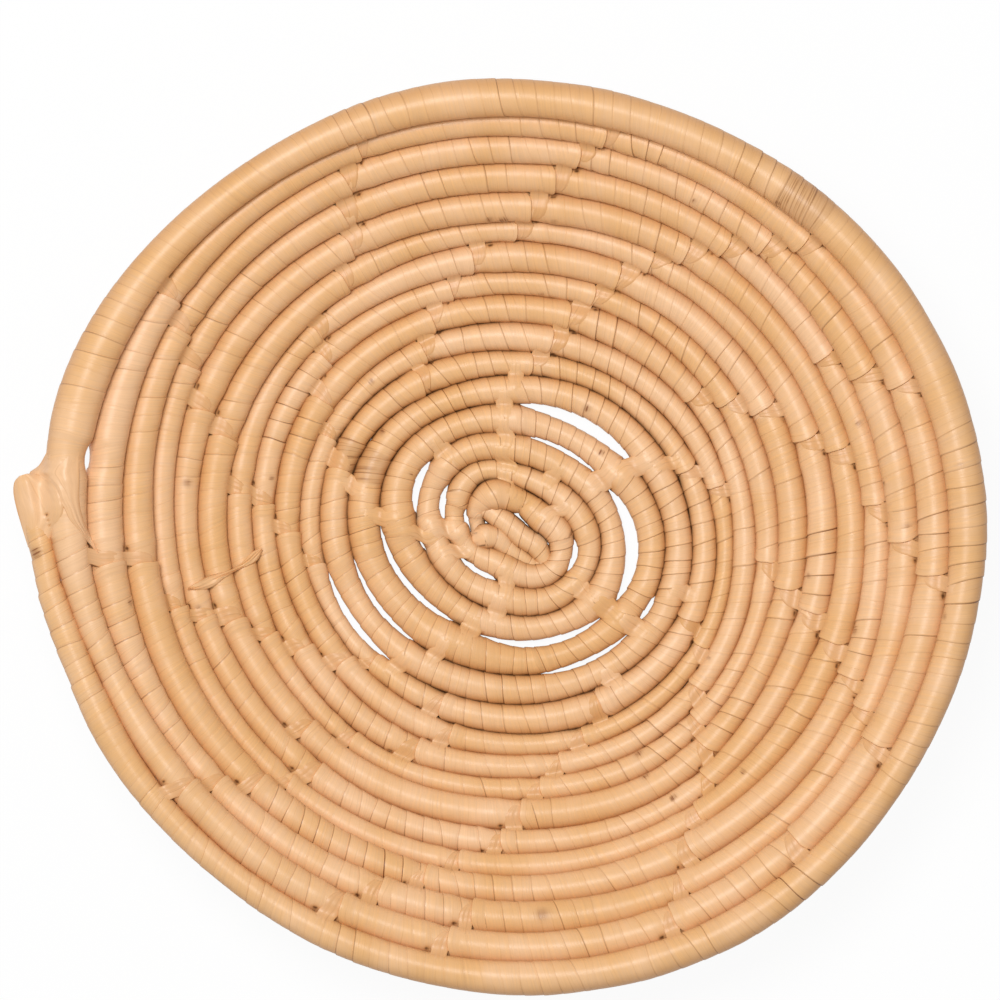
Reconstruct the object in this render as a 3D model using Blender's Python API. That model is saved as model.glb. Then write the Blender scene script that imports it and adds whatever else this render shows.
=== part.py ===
"""A coiled basket tray, about 305 mm across and 50 mm high.

One bundle of grass is folded in a hook at the centre and wound outwards in a spiral. Leaf strips are wrapped
round the bundle, one after another, and at every stitch a strip passes over the groove and into the round inside
it, which holds the rounds together. The inner rounds lie flat and the outer ones climb to the rim. The bundle
ends at the rim under a folded binding, and one loose twisted strand lies across the wall.

Z is up, and the origin is under the middle of the bounding box, on the surface that the tray rests on. The
spiral is followed from its end at the rim inwards, counter-clockwise seen from above, and a place on it is given
in turns: 0 is the end at the rim, on the -X side, and 1 is one round further in.
"""

import bisect
import math

import bmesh
import bpy
import numpy as np
from mathutils import Vector

MM = 0.001

# The spiral seen from above, in millimetres: its outer edge at turn 0, and the width of each round after that.
OUTER_RADIUS = 155.8
ROUND_WIDTHS = (9.6, 12.4, 7.4, 9.7, 7.3, 8.5, 9.1, 7.6, 7.7, 8.1, 7.6, 9.0, 10.7, 10.3, 9.2, 7.5, 6.5, 5.0)
START_ANGLE = 180.0
SPIRAL_TURNS = 16.0

# How far the hand-wound rounds are from circles, in millimetres, at the rim, half way in and at the centre:
# the shift along X and Y, then the oval along X and along the diagonal.
SHAPE_TURNS = (1.0, 8.5, 16.0)
SHIFT_X = (-1.4, -1.4, 0.0)
SHIFT_Y = (3.5, 1.0, 1.4)
OVAL_X = (1.9, 0.8, 2.0)
OVAL_DIAGONAL = (-2.3, -1.2, -3.4)

# The rise of the wall, in millimetres, over the turns outside the flat base.
WALL_RISE = 42.0
BASE_TURN = 10.5
WALL_CURVE = 1.8
TAIL_TURNS = 0.3

# The folded start of the bundle, in millimetres from the middle of the spiral, and its radius.
HOOK = (
    (-9.5, -0.8),
    (-5.3, -2.1),
    (-1.1, -4.4),
    (3.2, -6.9),
    (6.6, -7.5),
    (8.4, -5.4),
    (6.5, -2.2),
    (1.3, 1.6),
    (-3.4, 4.9),
    (-6.0, 6.5),
)
HOOK_RADIUS = 2.4

# The bundle, the wraps round it and the gaps that keep neighbours apart.
GAP = 0.5 * MM
WRAP_END_GAP = 0.4 * MM
BORE_SHARE = 0.75
BUNDLE_CLEARANCE = 0.45 * MM
CUT_SHARE = 0.8
WRAP_SIDES = 8
BORE_SIDES = 6
STEPS_OUTER = 20
STEPS_INNER = 10
STEP_CHANGE_TURN = 12
NEIGHBOUR_SECTIONS = 3
NEIGHBOUR_RADII = 6
RADIUS_ROUNDS = 4
STRIP_LENGTH = 200 * MM
SHARP_ANGLE = 50

# The upper corners of a wrap's section, in degrees from the outward side towards the top and on inwards.
OUTER_SIDE, OUTER_CROWN, INNER_CROWN, INNER_SIDE = ((i + 0.5) * 360 / WRAP_SIDES for i in range(4))

# A stitch is a tongue of the strip, drawn over the groove and on to the round inside it. Its room is the share
# of its half width that it keeps from the bends at the ends of its straight run.
STITCH_WIDTH = 6 * MM
STITCH_END_WIDTH = 4 * MM
STITCH_THICKNESS = 0.9 * MM
STITCH_CLEARANCE = 0.45 * MM
STITCH_INSET = 0.2 * MM
STITCH_ROOM = 1.6
STITCH_REACH = 0.4
STITCH_ROOT = (0.1, 0.6)
STITCHES_OUTER = 8
STITCHES_INNER = 5
STITCH_DRIFT = 0.009
STITCH_FIRST_TURN = 0.07
STITCH_LAST_TURN = 14.0

# The folded binding over the spiral's end: its sections from the tip back to the bundle's end, as turns and
# radii in millimetres. Its fold lies across the rim beside it, on the corners of the rim's tilted section.
TAIL_PLACES = (-0.0185, -0.016, -0.011, -0.005, -0.0014)
TAIL_RADII = (1.6, 3.9, 5.6, 6.0, 5.2)
TAIL_FOLD_ROOT = 2
TAIL_FOLD_PLACES = ((0.989, 0.995), (0.990, 0.998), (0.992, 0.9995))
TAIL_FOLD_ANGLES = (OUTER_SIDE, OUTER_CROWN, OUTER_CROWN)
TAIL_FOLD_SHARES = (0.0, 0.0, 0.9)
TAIL_FOLD_THICKNESS = 1.5 * MM

# The loose strand lies on the crowns of four rounds. Its radii are in millimetres.
STRAND_TURNS = (5.027, 6.021, 7.014, 8.007)
STRAND_RADII = (1.6, 0.9, 0.7, 1.3)
STRAND_SIDES = 4

# Colour, roughness and metallic value of each material.
MATERIALS = {
    "leaf_wrap": ((0.80, 0.53, 0.29, 1.0), 0.55, 0.0),
    "leaf_wrap_pale": ((0.84, 0.60, 0.38, 1.0), 0.55, 0.0),
    "grass_bundle": ((0.55, 0.42, 0.20, 1.0), 0.75, 0.0),
    "leaf_binding": ((0.74, 0.45, 0.22, 1.0), 0.5, 0.0),
}


class Station:
    """One cross-section of the coil: its centre, radius, and the two directions that it is drawn in."""

    def __init__(self, turn, centre, radius, out, up):
        self.turn = turn
        self.centre = centre
        self.radius = radius
        self.out = out
        self.up = up

    def point(self, angle, radius):
        """A point at this angle, in degrees from the outward side towards the top, and radius."""
        turned = math.radians(angle)
        return self.centre + radius * (math.cos(turned) * self.out + math.sin(turned) * self.up)

    def ring(self, sides, radius):
        """Points round the section, with a flat side on top, and none below the surface it rests on."""
        points = [self.point((i + 0.5) * 360 / sides, radius) for i in range(sides)]
        return [Vector((p.x, p.y, max(p.z, 0.0))) for p in points]


def edge(turn):
    """Distance from the middle to the spiral's outer edge at this turn, seen from above."""
    edges = OUTER_RADIUS - np.cumsum((0.0,) + ROUND_WIDTHS)
    plain = np.interp(turn, range(len(edges)), edges)
    angle = math.radians(START_ANGLE + 360 * turn)
    offset = np.interp(turn, SHAPE_TURNS, SHIFT_X) * math.cos(angle)
    offset += np.interp(turn, SHAPE_TURNS, SHIFT_Y) * math.sin(angle)
    offset += np.interp(turn, SHAPE_TURNS, OVAL_X) * math.cos(2 * angle)
    offset += np.interp(turn, SHAPE_TURNS, OVAL_DIAGONAL) * math.sin(2 * angle)
    return float(plain + offset) * MM


def rise(turn):
    """Height that the wall has gained at this turn. The last stretch comes down beside the round inside it."""
    if turn < TAIL_TURNS:
        share = (TAIL_TURNS - turn) / TAIL_TURNS
        return (1 - share) * rise(TAIL_TURNS) + share * rise(1 + turn)
    return WALL_RISE * MM * max(0.0, 1 - turn / BASE_TURN) ** WALL_CURVE


def spiral_turns():
    """The turns at which the coil has a section, close together outside and twice as far apart inside."""
    outer = [i / STEPS_OUTER for i in range(STEP_CHANGE_TURN * STEPS_OUTER)]
    count = round((SPIRAL_TURNS - STEP_CHANGE_TURN) * STEPS_INNER)
    return outer + [STEP_CHANGE_TURN + i / STEPS_INNER for i in range(count + 1)]


def section_size(turn, outside):
    """(radius, distance from the middle, height) of a section that touches the round outside it.

    outside is that round's (radius, height), or None at the rim. Its inner silhouette is the edge at this turn.
    """
    inner_edge = edge(turn + 1)
    width = edge(turn) - inner_edge
    radius = width / 2
    for _ in range(RADIUS_ROUNDS if outside else 0):
        climb = outside[1] - rise(turn) - CUT_SHARE * radius
        reach = width + outside[0]
        radius = (reach**2 + climb**2 - outside[0] ** 2) / (2 * (reach + outside[0]))
    return radius, inner_edge + radius, rise(turn) + CUT_SHARE * radius


def wall_angle(turn):
    """Slope of the wall at this turn, in radians, from the round outside it to the round inside."""
    outside = min(turn, abs(turn - 1))
    return math.atan2(rise(outside) - rise(turn + 1), edge(outside) - edge(turn + 1))


def add_directions(places, slopes):
    """Stations from (turn, centre, radius) places: each is square to the way the coil runs."""
    stations = []
    for i, (turn, centre, radius) in enumerate(places):
        before, after = places[max(i - 1, 0)][1], places[min(i + 1, len(places) - 1)][1]
        along = (after - before).normalized()
        flat_out = along.cross(Vector((0, 0, 1))).normalized()
        out = (math.cos(slopes[i]) * flat_out + math.sin(slopes[i]) * Vector((0, 0, 1))).normalized()
        stations.append(Station(turn, centre, radius, out, out.cross(along).normalized()))
    return stations


def ease_apart(places):
    """Thin the coil down where its straight runs would touch, as they do where it bends tightly."""
    centres = np.array([centre for _, centre, _ in places])
    radii = np.array([radius for _, _, radius in places])
    runs = centres[1:] - centres[:-1]
    lengths = (runs**2).sum(axis=1)
    numbers = np.arange(len(runs))
    for i, centre in enumerate(centres):
        share = np.clip(((centre - centres[:-1]) * runs).sum(axis=1) / lengths, 0, 1)
        distance = np.linalg.norm(centres[:-1] + share[:, None] * runs - centre, axis=1)
        beside = (1 - share) * radii[:-1] + share * radii[1:]
        fit = (distance - GAP) / (radii[i] + beside)
        fit[abs(numbers - i + 0.5) < NEIGHBOUR_SECTIONS] = 1
        nearest = int(fit.argmin())
        if fit[nearest] < 1:
            radii[[i, nearest, nearest + 1]] *= fit[nearest]
    return [(turn, centre, float(radius)) for (turn, centre, _), radius in zip(places, radii)]


def coil_stations():
    """Every section of the coil, from its end at the rim to the folded start at the centre."""
    places, sizes, slopes = [], {}, []
    for turn in spiral_turns():
        outside = sizes.get(round(turn - 1, 4))
        radius, distance, height = section_size(turn, outside)
        sizes[round(turn, 4)] = (radius, height)
        angle = math.radians(START_ANGLE + 360 * turn)
        centre = Vector((distance * math.cos(angle), distance * math.sin(angle), height))
        places.append((turn, centre, radius - GAP / 2))
        slopes.append(wall_angle(turn))
    for i, (x, y) in enumerate(HOOK):
        centre = Vector((x * MM, y * MM, CUT_SHARE * HOOK_RADIUS * MM))
        places.append((SPIRAL_TURNS + (i + 1) / STEPS_INNER, centre, HOOK_RADIUS * MM))
        slopes.append(0.0)
    return add_directions(ease_apart(places), slopes)


class Coil:
    """The whole coil as a row of stations, read at any turn along its straight runs."""

    def __init__(self, stations):
        self.stations = stations
        self.turns = [station.turn for station in stations]

    def index(self, turn):
        """Number of the station at or before this turn."""
        return min(max(bisect.bisect_right(self.turns, turn) - 1, 0), len(self.turns) - 2)

    def between(self, turn, read):
        """read(station) at this turn, along the straight run between two stations."""
        first = self.index(turn)
        share = (turn - self.turns[first]) / (self.turns[first + 1] - self.turns[first])
        return read(self.stations[first]).lerp(read(self.stations[first + 1]), share)

    def surface(self, turn, angle, above=0.0):
        """A point over the wraps at this turn and angle round the section."""
        return self.between(turn, lambda station: station.point(angle, station.radius + above))

    def shifted(self, station, distance):
        """A copy of a station, moved along the coil by a short distance."""
        along = station.up.cross(station.out)
        return Station(station.turn, station.centre + distance * along, station.radius, station.out, station.up)

    def length(self, first, last):
        """Length of the coil between two stations."""
        centres = [station.centre for station in self.stations[first : last + 1]]
        return sum((b - a).length for a, b in zip(centres, centres[1:]))


def add_ring(bm, points):
    return [bm.verts.new(point) for point in points]


def skin(bm, rings, flip=False):
    """Quads from each ring to the next. Returns them as a table, by step and by side."""
    rows = []
    for ring, after in zip(rings, rings[1:]):
        row = []
        for i in range(len(ring)):
            j = (i + 1) % len(ring)
            corners = (ring[i], ring[j], after[j], after[i])
            row.append(bm.faces.new(corners[::-1] if flip else corners))
        rows.append(row)
    return rows


def ring_edges(ring):
    pairs = zip(ring, ring[1:] + ring[:1])
    return [next(e for e in a.link_edges if b in e.verts) for a, b in pairs]


def finish(bm, name, material):
    """Turn the faces outwards and make the object."""
    bmesh.ops.recalc_face_normals(bm, faces=bm.faces)
    mesh = bpy.data.meshes.new(name)
    bm.to_mesh(mesh)
    bm.free()
    mesh.shade_smooth()
    mesh.set_sharp_from_angle(angle=math.radians(SHARP_ANGLE))
    mesh.materials.append(material)
    obj = bpy.data.objects.new(name, mesh)
    bpy.context.scene.collection.objects.link(obj)
    return obj


def solid_tube(bm, rings):
    """A closed tube through rings of points. Returns its side faces."""
    loops = [add_ring(bm, ring) for ring in rings]
    rows = skin(bm, loops)
    bm.faces.new(loops[0][::-1])
    bm.faces.new(loops[-1])
    return rows


def draw_tongue(bm, face, first, sections):
    """Draw a stitch out of one face of a wrap: its four corners there, then those of each section after it."""
    bmesh.ops.inset_individual(bm, faces=[face], thickness=STITCH_INSET)
    match_corners(face, first)
    for corners in sections:
        face = bmesh.ops.extrude_discrete_faces(bm, faces=[face])["faces"][0]
        match_corners(face, corners)


def side_corners(surface, places):
    """Four corners on a round's inner shoulder between two turns. surface(turn, angle) gives its points."""
    low, high = STITCH_ROOT
    return [
        surface(turn, INNER_CROWN).lerp(surface(turn, INNER_SIDE), share)
        for turn, share in zip((places[0], places[0], places[1], places[1]), (low, high, high, low))
    ]


def shelf_corners(coil, places, angle, share, thickness=STITCH_THICKNESS):
    """Four corners of a stitch's section over the round inside it, between two turns.

    It stands over the corner of that round's section at this angle, or share of the way to the next corner.
    """
    corners = []
    for turn, lift in zip((places[0], places[0], places[1], places[1]), (thickness, 0, 0, thickness)):
        above = STITCH_CLEARANCE + lift
        here, after = coil.surface(turn, angle, above), coil.surface(turn, angle + 360 / WRAP_SIDES, above)
        corners.append(here.lerp(after, share))
    return corners


def match_corners(face, corners):
    """Move a face's four corners to these points, each in the order that runs round the face the same way."""
    verts = list(face.verts)
    orders = [corners[i:] + corners[:i] for i in range(4)]
    orders += [order[::-1] for order in orders]
    best = min(orders, key=lambda order: sum((v.co - p).length for v, p in zip(verts, order)))
    for vert, point in zip(verts, best):
        vert.co = point


def stitch_turns():
    """The turn at the middle of every stitch, drifting a little from each round to the next."""
    turns = []
    for first, last, count in (
        (0, STEP_CHANGE_TURN, STITCHES_OUTER),
        (STEP_CHANGE_TURN, int(STITCH_LAST_TURN), STITCHES_INNER),
    ):
        for number in range((last - first) * count):
            whole, part = divmod(number, count)
            turns.append(first + whole + (STITCH_FIRST_TURN + part / count + STITCH_DRIFT * whole) % 1)
    return sorted(turns)


def settled(turn, coil, half):
    """The turn moved just enough that a stitch of this half width stays on one straight run."""
    first = coil.index(turn)
    low, high = coil.turns[first] + half, coil.turns[first + 1] - half
    return min(max(turn, low), high) if low < high else (low + high) / 2


def add_stitches(bm, rows, coil, first_station, last_station):
    """Draw the stitches that belong to the wraps between two stations."""
    start, stop = coil.turns[first_station], coil.turns[last_station]
    for turn in stitch_turns():
        if not start <= turn < stop:
            continue
        station = coil.stations[coil.index(turn)]
        inside = coil.stations[coil.index(turn + 1)]
        around = 2 * math.pi * Vector((station.centre.x, station.centre.y)).length
        around_inside = 2 * math.pi * Vector((inside.centre.x, inside.centre.y)).length
        half = STITCH_WIDTH / around / 2
        middle = settled(turn, coil, STITCH_ROOM * half)
        half_inside = STITCH_WIDTH / around_inside / 2
        half_end = STITCH_END_WIDTH / around_inside / 2
        shoulder = shelf_corners(coil, (middle + 1 - half_inside, middle + 1 + half_inside), OUTER_CROWN, 0.0)
        crown = shelf_corners(coil, (middle + 1 - half_end, middle + 1 + half_end), OUTER_CROWN, STITCH_REACH)
        face = rows[coil.index(middle) - first_station][wrap_side(INNER_CROWN)]
        draw_tongue(bm, face, side_corners(coil.surface, (middle - half, middle + half)), (shoulder, crown))


def wrap_side(angle):
    """Number of the wrap's side that starts at this angle round its section."""
    return round(angle * WRAP_SIDES / 360 - 0.5)


def wrap_strip(coil, first, last, name, material):
    """The leaf strip wound round the bundle between two stations, open at both ends, with its stitches."""
    bm = bmesh.new()
    ends = [coil.stations[i] for i in range(first, last + 1)]
    ends[0] = coil.shifted(ends[0], WRAP_END_GAP / 2)
    ends[-1] = coil.shifted(ends[-1], -WRAP_END_GAP / 2)
    outer = [add_ring(bm, station.ring(WRAP_SIDES, station.radius)) for station in ends]
    bore = [add_ring(bm, station.ring(BORE_SIDES, BORE_SHARE * station.radius)) for station in ends]
    rows = skin(bm, outer)
    skin(bm, bore, flip=True)
    for end in (0, -1):
        bmesh.ops.bridge_loops(bm, edges=ring_edges(outer[end]) + ring_edges(bore[end]))
    add_stitches(bm, rows, coil, first, last)
    return finish(bm, name, material)


def strip_ends(coil):
    """Station numbers where one leaf strip ends and the next begins."""
    ends = [0]
    last_station = len(coil.stations) - 1
    for i in range(1, last_station + 1):
        if coil.length(ends[-1], i) >= STRIP_LENGTH:
            ends.append(i)
    if coil.length(ends[-1], last_station) < STRIP_LENGTH / 2:
        ends.pop()
    return ends + [last_station]


def grass_bundle(coil, material):
    """The bundle as one unbroken tube from the folded start to the end at the rim."""
    bm = bmesh.new()
    rings = [station.ring(BORE_SIDES, bundle_radius(station)) for station in coil.stations]
    solid_tube(bm, rings)
    return finish(bm, "grass_bundle", material)


def bundle_radius(station):
    return BORE_SHARE * station.radius - BUNDLE_CLEARANCE


def least_bundle_gap(coil):
    """Least gap of the bundle to itself, measured on the points of its centre line."""
    centres = np.array([station.centre for station in coil.stations])
    radii = np.array([bundle_radius(station) for station in coil.stations])
    least = math.inf
    for i in range(len(centres)):
        apart = np.linalg.norm(centres[i + 1 :] - centres[i], axis=1) - radii[i + 1 :] - radii[i]
        walked = np.cumsum(np.linalg.norm(np.diff(centres[i:], axis=0), axis=1))
        far = apart[walked > NEIGHBOUR_RADII * radii[i]]
        least = min(least, far.min()) if len(far) else least
    return least


def tail_stations(coil):
    """Sections of the binding, which lies against the outside of the rim and runs on past the bundle's end."""
    stations = []
    height = coil.stations[STEPS_OUTER].centre.z
    for turn, radius in zip(TAIL_PLACES, TAIL_RADII):
        angle = math.radians(START_ANGLE + 360 * turn)
        out, up = Vector((math.cos(angle), math.sin(angle), 0)), Vector((0, 0, 1))
        beside = coil.between(turn + 1, lambda station: station.centre + station.radius * out)
        centre = (beside.dot(out) + radius * MM + GAP) * out + height * up
        stations.append(Station(turn, centre, radius * MM, out, up))
    return stations


def tail_binding(coil, material):
    """The folded leaf that caps the end of the coil, with its fold across the rim."""
    bm = bmesh.new()
    tail = Coil(tail_stations(coil))
    rows = solid_tube(bm, [station.ring(WRAP_SIDES, station.radius) for station in tail.stations])
    root = side_corners(tail.surface, tail.turns[TAIL_FOLD_ROOT : TAIL_FOLD_ROOT + 2])
    sections = [
        shelf_corners(coil, places, angle, share, TAIL_FOLD_THICKNESS)
        for places, angle, share in zip(TAIL_FOLD_PLACES, TAIL_FOLD_ANGLES, TAIL_FOLD_SHARES)
    ]
    draw_tongue(bm, rows[TAIL_FOLD_ROOT][wrap_side(INNER_CROWN)], root, sections)
    return finish(bm, "tail_binding", material)


def stray_strand(coil, material):
    """A loose twisted strip that lies on the crowns of four rounds."""
    bm = bmesh.new()
    above = STITCH_CLEARANCE + STITCH_THICKNESS
    centres = [coil.surface(turn, 90, above + r * MM) for turn, r in zip(STRAND_TURNS, STRAND_RADII)]
    places = [(0, centre, radius * MM) for centre, radius in zip(centres, STRAND_RADII)]
    stations = add_directions(places, [0.0] * len(places))
    solid_tube(bm, [station.ring(STRAND_SIDES, station.radius) for station in stations])
    return finish(bm, "stray_strand", material)


def make_material(name):
    colour, roughness, metallic = MATERIALS[name]
    material = bpy.data.materials.new(name)
    material.use_nodes = True
    shader = material.node_tree.nodes["Principled BSDF"]
    shader.inputs["Base Color"].default_value = colour
    shader.inputs["Roughness"].default_value = roughness
    shader.inputs["Metallic"].default_value = metallic
    material.diffuse_color = colour
    return material


def centre_on_origin(objects):
    """Move every mesh so that the middle of the box round them all is over the origin."""
    corners = np.array([vert.co for obj in objects for vert in obj.data.vertices])
    middle = (corners.min(axis=0) + corners.max(axis=0)) / 2
    for obj in objects:
        for vert in obj.data.vertices:
            vert.co -= Vector((middle[0], middle[1], 0))
    return middle


def main():
    for obj in list(bpy.data.objects):
        bpy.data.objects.remove(obj)
    materials = {name: make_material(name) for name in MATERIALS}
    coil = Coil(coil_stations())
    pieces = [grass_bundle(coil, materials["grass_bundle"])]
    ends = strip_ends(coil)
    for i, (first, last) in enumerate(zip(ends, ends[1:])):
        slot = ("leaf_wrap", "leaf_wrap_pale")[i % 2]
        pieces.append(wrap_strip(coil, first, last, f"wrap_strip_{i + 1:02d}", materials[slot]))
    pieces.append(tail_binding(coil, materials["leaf_binding"]))
    pieces.append(stray_strand(coil, materials["leaf_binding"]))
    middle = centre_on_origin(pieces)
    print(f"least gap of the bundle to itself: {least_bundle_gap(coil) / MM:.2f} mm")
    print(f"bundle length {coil.length(0, len(coil.stations) - 1):.2f} m, {len(ends) - 1} strips")
    print(f"middle of the spiral from the origin: {-middle[0] / MM:.1f}, {-middle[1] / MM:.1f} mm")


main()
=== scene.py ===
"""The looks of a coiled basket tray: leaf strips wound round a grass bundle and stitched round to round.

The bundle's course is a spiral that is followed from its end at the rim inwards, counter-clockwise seen
from above. A place on it is given in turns, where 0 is the end at the rim, on the -X side, and 1 is one round
further in, or as a length along it. Sizes are in millimetres until a mesh is made. An angle round the bundle
is measured from its outward side towards the top and on to the inward side.
"""

import logging
import math
from dataclasses import dataclass, field
from enum import Enum

import bpy
import numpy as np
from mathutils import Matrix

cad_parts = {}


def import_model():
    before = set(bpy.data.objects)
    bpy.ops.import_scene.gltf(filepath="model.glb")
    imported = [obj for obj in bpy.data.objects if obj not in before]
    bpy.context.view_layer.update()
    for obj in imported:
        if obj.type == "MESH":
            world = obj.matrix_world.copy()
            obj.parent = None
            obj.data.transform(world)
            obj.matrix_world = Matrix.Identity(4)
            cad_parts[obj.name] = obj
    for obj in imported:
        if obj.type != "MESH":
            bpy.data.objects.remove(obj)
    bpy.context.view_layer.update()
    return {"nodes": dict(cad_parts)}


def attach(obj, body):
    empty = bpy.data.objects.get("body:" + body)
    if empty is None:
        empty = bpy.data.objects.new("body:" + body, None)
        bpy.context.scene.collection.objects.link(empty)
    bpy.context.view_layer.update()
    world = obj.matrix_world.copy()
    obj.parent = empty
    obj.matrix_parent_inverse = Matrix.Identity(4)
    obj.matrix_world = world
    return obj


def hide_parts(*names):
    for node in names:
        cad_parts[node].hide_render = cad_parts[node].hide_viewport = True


MM = 0.001
FULL_TURN = 2 * math.pi
SHARP_ANGLE = 40.0
LEAF_SHARE = 1.02
STEPS_A_KNOT = 20

log = logging.getLogger("basket")


class Slot(Enum):
    """Material slots of the record."""

    WRAP = "leaf_wrap"
    PALE_WRAP = "leaf_wrap_pale"
    BUNDLE = "grass_bundle"
    BINDING = "leaf_binding"


def smooth_step(low: float, high: float, value: np.ndarray) -> np.ndarray:
    """Rise smoothly from 0 at low to 1 at high.

    Args:
        low: value at which the result is 0.
        high: value at which the result is 1.
        value: the values to grade.

    Returns:
        The grades, between 0 and 1.
    """
    share = np.clip((value - low) / (high - low), 0.0, 1.0)
    return share * share * (3.0 - 2.0 * share)


def bell(value: np.ndarray, width: float) -> np.ndarray:
    """A bell curve of this width round 0, with 1 at its top."""
    return np.exp(-((value / width) ** 2))


def plateau(rise: tuple[float, float], fall: tuple[float, float], value: np.ndarray) -> np.ndarray:
    """Rise smoothly from 0 to 1 over one stretch and fall back over another."""
    return smooth_step(*rise, value) * (1 - smooth_step(*fall, value))


def smoothed(values: np.ndarray, width: float) -> np.ndarray:
    """Smooth a row of values with a bell of this width, in samples.

    Args:
        values: the row.
        width: standard deviation of the bell.

    Returns:
        The smoothed row, as long as the given one.
    """
    reach = int(3 * width) + 1
    bell = np.exp(-0.5 * (np.arange(-reach, reach + 1) / width) ** 2)
    padded = np.concatenate([np.full(reach, values[0]), values, np.full(reach, values[-1])])
    return np.convolve(padded, bell / bell.sum(), mode="valid")


def slow_noise(rng: np.random.Generator, length: float, spacing: float) -> tuple[np.ndarray, np.ndarray]:
    """Make random values at even places, to be read by interpolation.

    Args:
        rng: source of the random numbers.
        length: length that the places cover.
        spacing: distance between two places.

    Returns:
        The places and their values, between -1 and 1.
    """
    places = np.arange(-spacing, length + 2 * spacing, spacing)
    return places, rng.uniform(-1.0, 1.0, len(places))


def curve_through(knots: np.ndarray, steps: int) -> np.ndarray:
    """Draw a smooth curve through all knots but the first and the last.

    Args:
        knots: points, one a row.
        steps: number of points made from one knot to the next.

    Returns:
        The curve's points after the second knot, one a row.
    """
    share = (np.arange(1, steps + 1) / steps)[:, None]
    rows = []
    for a, b, c, d in zip(knots, knots[1:], knots[2:], knots[3:]):
        curve = 2 * b + (c - a) * share + (2 * a - 5 * b + 4 * c - d) * share**2
        rows.append((curve + (3 * b - a - 3 * c + d) * share**3) / 2)
    return np.concatenate(rows)


@dataclass(frozen=True)
class Slit:
    """An opening between two rounds, with the groove's turn at both ends and its greatest width."""

    first: float
    last: float
    width: float


@dataclass(frozen=True)
class SpiralPlan:
    """Sizes of the coil, which the construction shares."""

    outer_radius: float = 155.8
    round_widths: tuple[float, ...] = (
        9.6, 12.4, 7.4, 9.7, 7.3, 8.5, 9.1, 7.6, 7.7, 8.1, 7.6, 9.0, 10.7, 10.3, 9.2, 7.5, 6.5, 5.0,
    )
    start_angle: float = 180.0
    turns: float = 16.0
    shape_turns: tuple[float, ...] = (1.0, 8.5, 16.0)
    shift_x: tuple[float, ...] = (-1.4, -1.4, 0.0)
    shift_y: tuple[float, ...] = (3.5, 1.0, 1.4)
    oval_x: tuple[float, ...] = (1.9, 0.8, 2.0)
    oval_diagonal: tuple[float, ...] = (-2.3, -1.2, -3.4)
    wall_rise: float = 42.0
    base_turn: float = 10.5
    wall_curve: float = 1.8
    tail_turns: float = 0.3
    cut_share: float = 0.8
    middle: tuple[float, float] = (4.8, -1.0)
    hook: tuple[tuple[float, float], ...] = (
        (-9.7, -0.4), (-6.0, -1.2), (-2.3, -4.6), (2.4, -7.9), (6.3, -10.1),
        (9.2, -8.8), (6.8, -3.8), (2.2, -0.7), (-4.0, 4.6), (-11.2, 9.8),
    )
    hook_radii: tuple[float, ...] = (4.1, 3.7, 3.2, 2.9, 2.5, 2.8, 3.7, 3.8, 3.9, 3.4)
    hook_step: float = 0.1
    end: tuple[tuple[float, float], ...] = ((-153.6, -5.5), (-155.9, 3.9), (-157.9, 11.4), (-158.7, 16.6))
    end_radii: tuple[float, ...] = (3.9, 4.0, 4.2, 4.3)
    end_joint: float = 7.0
    strip_length: float = 200.0
    stations_a_turn: tuple[int, int] = (20, 10)
    station_change: int = 12
    overlap: float = 0.7
    eased_turns: tuple[float, float] = (13.5, 16.05)
    eased_reach: float = 9.0

    def edge(self, turn: np.ndarray) -> np.ndarray:
        """Distance from the middle to the spiral's outer edge at these turns, seen from above."""
        edges = self.outer_radius - np.cumsum((0.0,) + self.round_widths)
        angle = np.radians(self.start_angle + 360 * turn)
        offset = np.interp(turn, self.shape_turns, self.shift_x) * np.cos(angle)
        offset += np.interp(turn, self.shape_turns, self.shift_y) * np.sin(angle)
        offset += np.interp(turn, self.shape_turns, self.oval_x) * np.cos(2 * angle)
        offset += np.interp(turn, self.shape_turns, self.oval_diagonal) * np.sin(2 * angle)
        return np.interp(turn, range(len(edges)), edges) + offset

    def rise(self, turn: np.ndarray) -> np.ndarray:
        """Height that the wall has gained at these turns."""
        share = np.clip((self.tail_turns - turn) / self.tail_turns, 0.0, 1.0)
        inside = self.wall_height(np.maximum(turn, 0.0) + 1)
        lowered = (1 - share) * self.wall_height(np.array(self.tail_turns)) + share * inside
        return np.where(turn < self.tail_turns, lowered, self.wall_height(turn))

    def wall_height(self, turn: np.ndarray) -> np.ndarray:
        """Height of the wall's curve, without the last stretch that comes down beside the round inside it."""
        return self.wall_rise * np.maximum(0.0, 1 - turn / self.base_turn) ** self.wall_curve


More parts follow.
